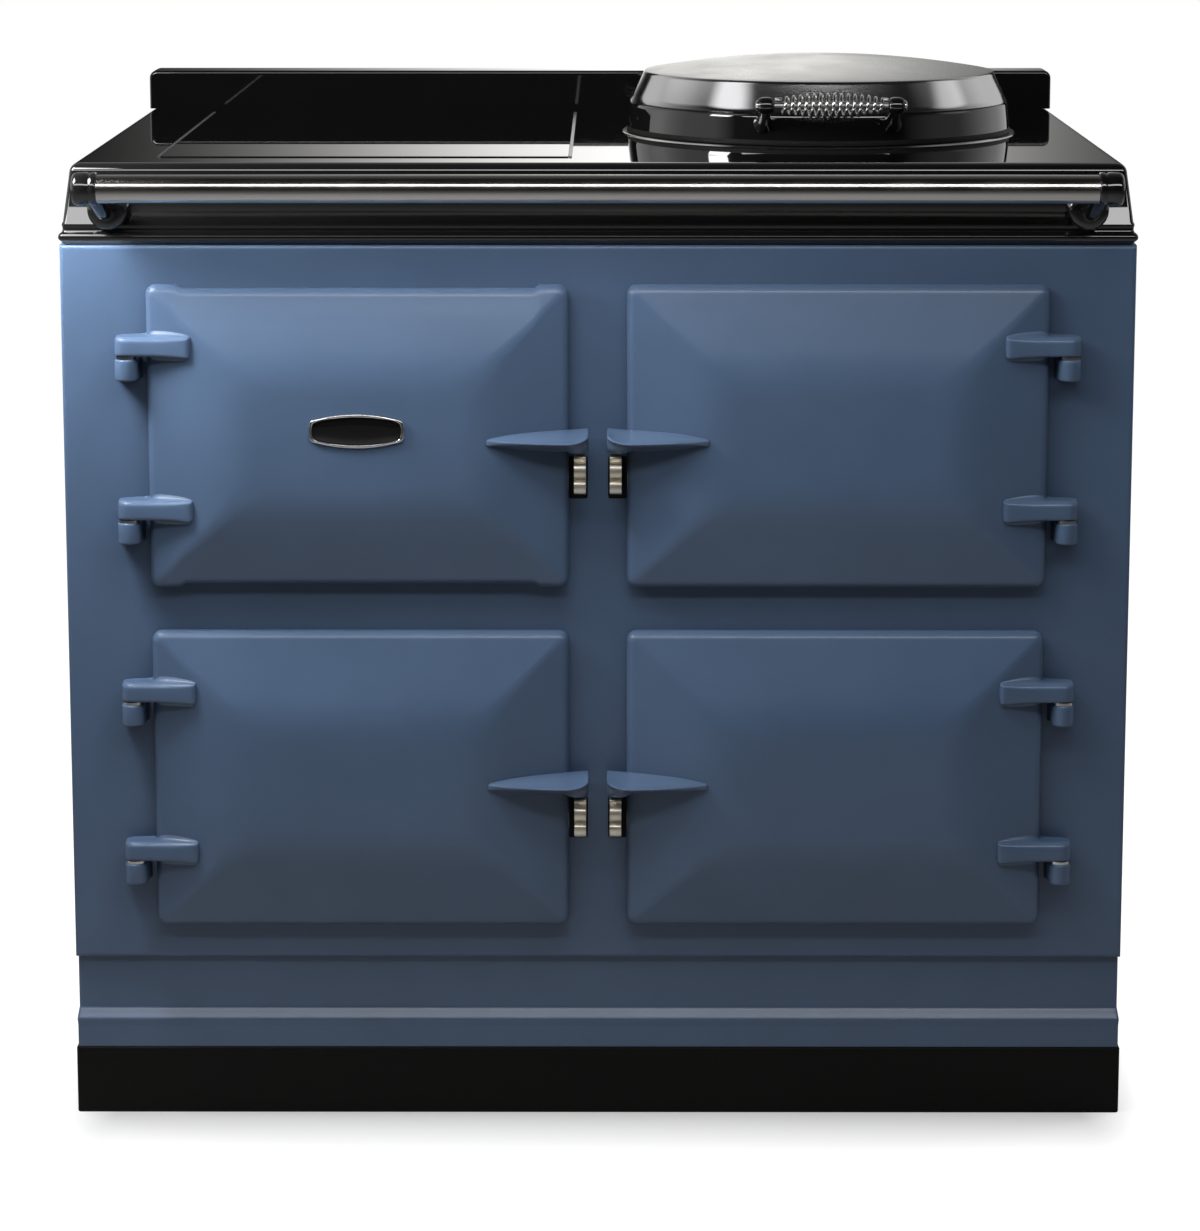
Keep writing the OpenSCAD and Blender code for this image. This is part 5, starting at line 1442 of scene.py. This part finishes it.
class COOKER_OT_grip(bpy.types.Operator):
    """Winds the coil grip and turns its posts and end caps"""
    bl_idname = "cooker.grip"
    bl_label = "Coil grip"

    def execute(self, context):
        lid = context.scene.cooker_lid
        rod_low, rod_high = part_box("grip_rod")
        coil_low, coil_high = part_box("grip_coil")
        axis = (rod_low + rod_high) / 2
        half = (coil_high.x - coil_low.x) / 2
        lead = 2 * lid.coil_wire
        run = half - lead - lid.coil_wire
        steps = lid.coil_turns * CURL_STEPS
        path = [Vector((-half, 0, lid.coil_end))]
        for i in range(steps + 1):
            t = i / steps
            out = lid.coil_end + (lid.coil_middle - lid.coil_end) * math.sin(PI * t) ** 0.7
            turn = 2 * PI * lid.coil_turns * t
            path.append(Vector((-run + 2 * run * t, out * math.sin(turn), out * math.cos(turn))))
        path.append(Vector((half, 0, lid.coil_end)))
        sections = []
        for i, point in enumerate(path):
            ahead = (path[min(i + 1, len(path) - 1)] - path[max(i - 1, 0)]).normalized()
            away = Vector((0, point.y, point.z))
            away = (away - away.dot(ahead) * ahead).normalized()
            side = ahead.cross(away)
            sections.append([axis + point + lid.coil_wire * (math.cos(a) * away + math.sin(a) * side)
                             for a in around(10)])
        bm = bmesh.new()
        loft(bm, sections)
        publish(bm, "coil_grip", "lid", coil_steel(), ["grip_coil"], smooth=60)
        self.posts(lid, axis)
        return {"FINISHED"}

    def posts(self, lid, axis):
        """The two black posts, each with a bright cap on the rod's end."""
        place = lid_place()
        low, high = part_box("grip_posts")
        post_x = (high.x - low.x) / 2 - 8 * MM
        posts, caps = bmesh.new(), bmesh.new()
        for side in (-1, 1):
            head = Vector((axis.x + side * post_x, axis.y, axis.z))
            verts = lathe(posts, POST_HEAD, 40, "X")
            move(posts, head, verts)
            run = place.y - axis.y - math.sqrt(lid.radius ** 2 - post_x ** 2)
            root = Vector((head.x, axis.y + run + 3 * MM, HOB_Z + 22 * MM))
            ahead = (root - head).normalized()
            right = Vector((1, 0, 0))
            up = right.cross(ahead)
            sections = []
            for share, radius in POST_STEM:
                centre = head.lerp(root, share)
                sections.append([centre + radius * MM * (math.cos(a) * right + math.sin(a) * up)
                                 for a in around(24)])
            loft(posts, sections)
            verts = lathe(caps, ROD_CAP, 32, "X")
            if side < 0:
                mirror(caps, verts)
            move(caps, head + Vector((side * 7.4 * MM, 0, 0)), verts)
        publish(posts, "post_castings", "lid", black_enamel(), ["grip_posts"], smooth=50)
        publish(caps, "rod_caps", "lid", chrome(), smooth=40)


# ---------------------------------------------------------------- controls

KNOBS = ("left_knob", "middle_knob", "right_knob")
# (radius, out) of a knob and of its shaft, in millimetres
KNOB = mm([(0, -0.3), (18.6, -0.3), (19, -0.9), (19, -3.6), (18, -4.9), (15.9, -5.4), (15.6, -17.4),
           (14.6, -19.2), (12.6, -20), (0, -20)])
KNOB_SHAFT = mm([(0, 0), (3, 0), (3, 15), (0, 15)])
FLUTES = 18
TICKS = 10
TICK_RING = 24 * MM


class COOKER_OT_knobs(bpy.types.Operator):
    """Turns the three control knobs and sets plain ticks round them"""
    bl_idname = "cooker.knobs"
    bl_label = "Control knobs"

    def execute(self, context):
        panel_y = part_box("control_panel")[0].y
        ticks = bmesh.new()
        for name in KNOBS:
            axis = pivot(name + "_turn")
            centre = Vector((axis.x, panel_y, axis.z))
            bm = bmesh.new()
            lathe(bm, KNOB, 72, "Y")
            for v in bm.verts:
                reach = math.hypot(v.co.x, v.co.z)
                if reach > 14 * MM and -18 * MM < v.co.y < -5.2 * MM:
                    dent = 1 - 0.03 * (1 + math.cos(FLUTES * math.atan2(v.co.z, v.co.x)))
                    v.co.x *= dent
                    v.co.z *= dent
            mark = [Vector((x, -19.8 * MM, z)) for x, z in rounded(4 * MM, 13 * MM, 1.5 * MM, 3)]
            grip_bar = slab(bm, mark, (0, -1.2 * MM, 0))
            move(bm, (0, 0, 8.6 * MM), grip_bar)
            lathe(bm, KNOB_SHAFT, 24, "Y")
            move(bm, centre)
            publish(bm, name + "_turned", name + "_body", black_moulding(), [name],
                    smooth=30)
            for a in spread(-QUARTER * 1.5, QUARTER * 1.5, TICKS):
                corners = [Vector((x, 0.0, z)) for x, z in rounded(0.9 * MM, 4.4 * MM, 0.3 * MM, 2)]
                tick = slab(ticks, corners, (0, -0.25 * MM, 0))
                move(ticks, (0, 0, TICK_RING), tick)
                bmesh.ops.rotate(ticks, verts=tick, cent=(0, 0, 0), matrix=Matrix.Rotation(a, 3, "Y"))
                move(ticks, centre, tick)
        publish(ticks, "panel_ticks", "cabinet", pale_moulding(), smooth=30)
        return {"FINISHED"}


class COOKER_OT_frame_finishes(bpy.types.Operator):
    """Gives the construction's visible pieces their finishes"""
    bl_idname = "cooker.frame_finishes"
    bl_label = "Frame finishes"

    def execute(self, context):
        for finish, nodes in NODE_FINISHES.items():
            for node in nodes:
                piece = frame["nodes"][node]
                piece.data.materials.clear()
                piece.data.materials.append(finish())
        return {"FINISHED"}


# ---------------------------------------------------------------- stage

# Name, which is also that of the property with its power, then place, aim (across, up), width,
# height, and whether it shows in reflections
LAMPS = (
    ("near", (-0.72, -0.50, 1.20), (-0.2, 0.60), 0.25, 0.25, True),
    ("strip", (0.0, -1.55, 1.72), (0.0, 0.85), 3.2, 0.24, True),
    ("closer", (-0.62, -0.44, 1.02), (-0.2, 0.60), 0.15, 0.15, False),
    ("middle", (-0.10, -0.62, 1.12), (0.1, 0.50), 0.4, 0.15, False),
    ("above", (-0.2, -1.1, 2.4), (0.0, 0.40), 1.8, 0.8, False),
)
FLOOR_HALF = 9.0
# The floor's shadow, partly real and partly painted, lies under a rectangle and fades out over its reach,
# twice as fast at the sides
SHADOW_HALF = (0.46, 0.32, 0.0)
SHADOW_REACH = 0.15
SHADOW_FASTER = (2.0, 1.0, 1.0)
BACKDROP_HALF = 1.4
BACKDROP_Y = 2.2
BACKDROP_LOW = 0.02
BACKDROP_HIGH = 2.0
# Where across the backdrop is brightest, and how wide that is
GLOW_X = 0.10
GLOW_WIDTH = 0.45
# Direction and strength of the world's two soft boxes, seen in the lid's bevel
SOFT_BOXES = (((-0.75, -0.33, 0.57), 1.0), ((0.89, 0.07, 0.45), 0.45))


def lamp(name, place, target, power, width, height, glossy):
    """A soft box aimed at a point. The camera sees it in reflections only, and only if it is glossy."""
    light = bpy.data.lights.new(name, "AREA")
    light.shape = "RECTANGLE"
    light.size = width
    light.size_y = height
    light.energy = power
    box = bpy.data.objects.new(name, light)
    box.location = place
    box.rotation_euler = (Vector(target) - Vector(place)).to_track_quat("-Z", "Y").to_euler()
    box.visible_camera = False
    box.visible_glossy = glossy
    bpy.context.scene.collection.objects.link(box)


def stage_panel(name, corners, material):
    """A flat panel of the studio."""
    bm = bmesh.new()
    bm.faces.new([bm.verts.new(c) for c in corners])
    mesh = bpy.data.meshes.new(name)
    bm.to_mesh(mesh)
    bm.free()
    mesh.materials.append(material)
    panel = bpy.data.objects.new(name, mesh)
    bpy.context.scene.collection.objects.link(panel)
    return panel


def floor_material():
    """Pale floor: shown white to the camera, with its real shadow and a painted shadow near the cooker, where
    the lift to white is weaker.
    """
    made = bpy.data.materials.new("studio_floor")
    made.use_nodes = True
    tree = made.node_tree
    tree.nodes.remove(tree.nodes["Principled BSDF"])
    out = tree.nodes["Material Output"]
    seen = tree.nodes.new("ShaderNodeLightPath").outputs["Is Camera Ray"]
    across = add(tree, "VectorMath", {0: object_place(tree)}, operation="ABSOLUTE")
    beyond = add(tree, "VectorMath", {0: across.outputs["Vector"], 1: SHADOW_HALF}, operation="SUBTRACT")
    outside = add(tree, "VectorMath", {0: beyond.outputs["Vector"]}, operation="MAXIMUM")
    steep = add(tree, "VectorMath", {0: outside.outputs["Vector"], 1: SHADOW_FASTER}, operation="MULTIPLY")
    away = add(tree, "VectorMath", {0: steep.outputs["Vector"]}, operation="LENGTH").outputs["Value"]
    grain = ranged(tree, noise(tree, object_place(tree), 3.0), 0.99, 1.0)
    shown = add(tree, "BsdfDiffuse", {"Color": (0.25, 0.25, 0.25, 1)})
    # Painted shadow: the white lift is weaker close to the rectangle under the cooker and full beyond its
    # reach
    strength = maths(tree, "MULTIPLY", grain, ranged(tree, away, 0.34, 1.01, 0.0, SHADOW_REACH))
    lift = add(tree, "Emission", {"Color": (1, 1, 1, 1), "Strength": strength})
    both = add(tree, "AddShader", {0: shown.outputs[0], 1: lift.outputs[0]})
    bounce = add(tree, "BsdfDiffuse", {"Color": (0.33, 0.33, 0.33, 1)})
    mix = add(tree, "MixShader", {0: seen, 1: bounce.outputs[0], 2: both.outputs[0]})
    tree.links.new(mix.outputs[0], out.inputs["Surface"])
    return made


def backdrop_material(strength):
    """A lit backdrop, bright behind the cooker's middle and falling off to the sides."""
    made = bpy.data.materials.new("studio_backdrop")
    made.use_nodes = True
    tree = made.node_tree
    tree.nodes.remove(tree.nodes["Principled BSDF"])
    out = tree.nodes["Material Output"]
    parts = add(tree, "SeparateXYZ", {0: object_place(tree)})
    across = maths(tree, "SUBTRACT", parts.outputs["X"], GLOW_X)
    spread_out = maths(tree, "MULTIPLY", maths(tree, "MULTIPLY", across, across), -1 / GLOW_WIDTH ** 2)
    level = maths(tree, "MULTIPLY", maths(tree, "EXPONENT", spread_out, 0.0), strength)
    glow = add(tree, "Emission", {"Color": (1, 0.99, 0.97, 1), "Strength": level})
    tree.links.new(glow.outputs[0], out.inputs["Surface"])
    return made


def studio_world():
    """White to the camera; to everything else a dim room, lighter behind and at the sides."""
    world = bpy.data.worlds.new("studio")
    bpy.context.scene.world = world
    world.use_nodes = True
    tree = world.node_tree
    tree.nodes.clear()
    toward = tree.nodes.new("ShaderNodeTexCoord").outputs["Generated"]
    parts = add(tree, "SeparateXYZ", {0: toward})
    behind = ranged(tree, parts.outputs["Y"], 0.0, 0.5, 0.0, 0.6)
    high = ranged(tree, parts.outputs["Z"], 1.0, 0.2, 0.3, 0.8)
    left = ranged(tree, parts.outputs["X"], 0.45, 0.0, -0.92, -0.80)
    right = ranged(tree, parts.outputs["X"], 0.0, 0.18, 0.75, 0.95)
    aside = maths(tree, "MULTIPLY", maths(tree, "ADD", left, right), high)
    level = maths(tree, "ADD", maths(tree, "MULTIPLY", behind, high), maths(tree, "ADD", aside, 0.01))
    for place, strength in SOFT_BOXES:
        off = add(tree, "VectorMath", {0: toward, 1: place}, operation="DISTANCE").outputs["Value"]
        level = maths(tree, "ADD", level, ranged(tree, off, strength, 0.0, 0.12, 0.25))
    room = add(tree, "Background", {"Color": (1, 1, 1, 1), "Strength": level})
    white = add(tree, "Background", {"Color": (1, 1, 1, 1), "Strength": 1.0})
    seen = tree.nodes.new("ShaderNodeLightPath").outputs["Is Camera Ray"]
    mix = add(tree, "MixShader", {0: seen, 1: room.outputs[0], 2: white.outputs[0]})
    out = tree.nodes.new("ShaderNodeOutputWorld")
    tree.links.new(mix.outputs[0], out.inputs["Surface"])


class COOKER_OT_stage(bpy.types.Operator):
    """Sets the floor, the backdrop, the lights and the camera"""
    bl_idname = "cooker.stage"
    bl_label = "Studio"

    def execute(self, context):
        studio = context.scene.cooker_studio
        context.scene.view_settings.view_transform = "Standard"
        studio_world()
        far = FLOOR_HALF
        stage_panel("floor", [(-far, -far, 0), (far, -far, 0), (far, far, 0), (-far, far, 0)],
                    floor_material())
        corners = [(-BACKDROP_HALF, BACKDROP_LOW), (BACKDROP_HALF, BACKDROP_LOW),
                   (BACKDROP_HALF, BACKDROP_HIGH), (-BACKDROP_HALF, BACKDROP_HIGH)]
        backdrop = stage_panel("backdrop", [(x, BACKDROP_Y, z) for x, z in corners],
                               backdrop_material(studio.backdrop))
        backdrop.visible_camera = False
        backdrop.visible_shadow = False
        for name, place, (aim_x, aim_z), width, height, glossy in LAMPS:
            lamp(name, place, (aim_x, FACE_Y, aim_z), getattr(studio, name), width, height, glossy)
        for side in (-1, 1):
            lamp("beside", (side * 2.3, 0.9, 1.3), (0, 0, 0.5), studio.side, 1.0, 1.4, False)
        data = bpy.data.cameras.new("camera")
        data.lens = studio.lens
        data.sensor_width = 36.0
        data.shift_y = studio.lower
        camera = bpy.data.objects.new("camera", data)
        camera.location = (studio.aside, FACE_Y - studio.distance, studio.height)
        camera.rotation_euler = (QUARTER - studio.tilt, 0.0, studio.turn)
        context.scene.collection.objects.link(camera)
        context.scene.camera = camera
        return {"FINISHED"}


# ---------------------------------------------------------------- panel and registration

OPERATORS = (COOKER_OT_doors, COOKER_OT_hinge_arms, COOKER_OT_handles, COOKER_OT_hinge_lugs,
             COOKER_OT_catches, COOKER_OT_badge, COOKER_OT_door_pans, COOKER_OT_door_seals,
             COOKER_OT_front, COOKER_OT_skirt, COOKER_OT_plinth, COOKER_OT_hob, COOKER_OT_upstand,
             COOKER_OT_back, COOKER_OT_rail, COOKER_OT_lid, COOKER_OT_grip, COOKER_OT_knobs,
             COOKER_OT_frame_finishes, COOKER_OT_stage)


class COOKER_PT_sidebar(bpy.types.Panel):
    """Lists the cooker's operators and sizes"""
    bl_idname = "COOKER_PT_sidebar"
    bl_label = "Range cooker"
    bl_space_type = "VIEW_3D"
    bl_region_type = "UI"
    bl_category = "Cooker"

    def draw(self, context):
        for operator in OPERATORS:
            self.layout.operator(operator.bl_idname)
        for group in GROUPS:
            box = self.layout.box()
            for label in getattr(context.scene, group).bl_rna.properties.keys():
                if label not in ("rna_type", "name"):
                    box.prop(getattr(context.scene, group), label)


CLASSES = (*GROUPS.values(), *OPERATORS, COOKER_PT_sidebar)


def register():
    for item in CLASSES:
        bpy.utils.register_class(item)
    for name, group in GROUPS.items():
        setattr(bpy.types.Scene, name, PointerProperty(type=group))


def unregister():
    for name in GROUPS:
        delattr(bpy.types.Scene, name)
    for item in reversed(CLASSES):
        bpy.utils.unregister_class(item)


def main():
    """Builds everything in order."""
    register()
    for operator in OPERATORS:
        area, action = operator.bl_idname.split(".")
        getattr(getattr(bpy.ops, area), action)()


if __name__ == "__main__":
    main()
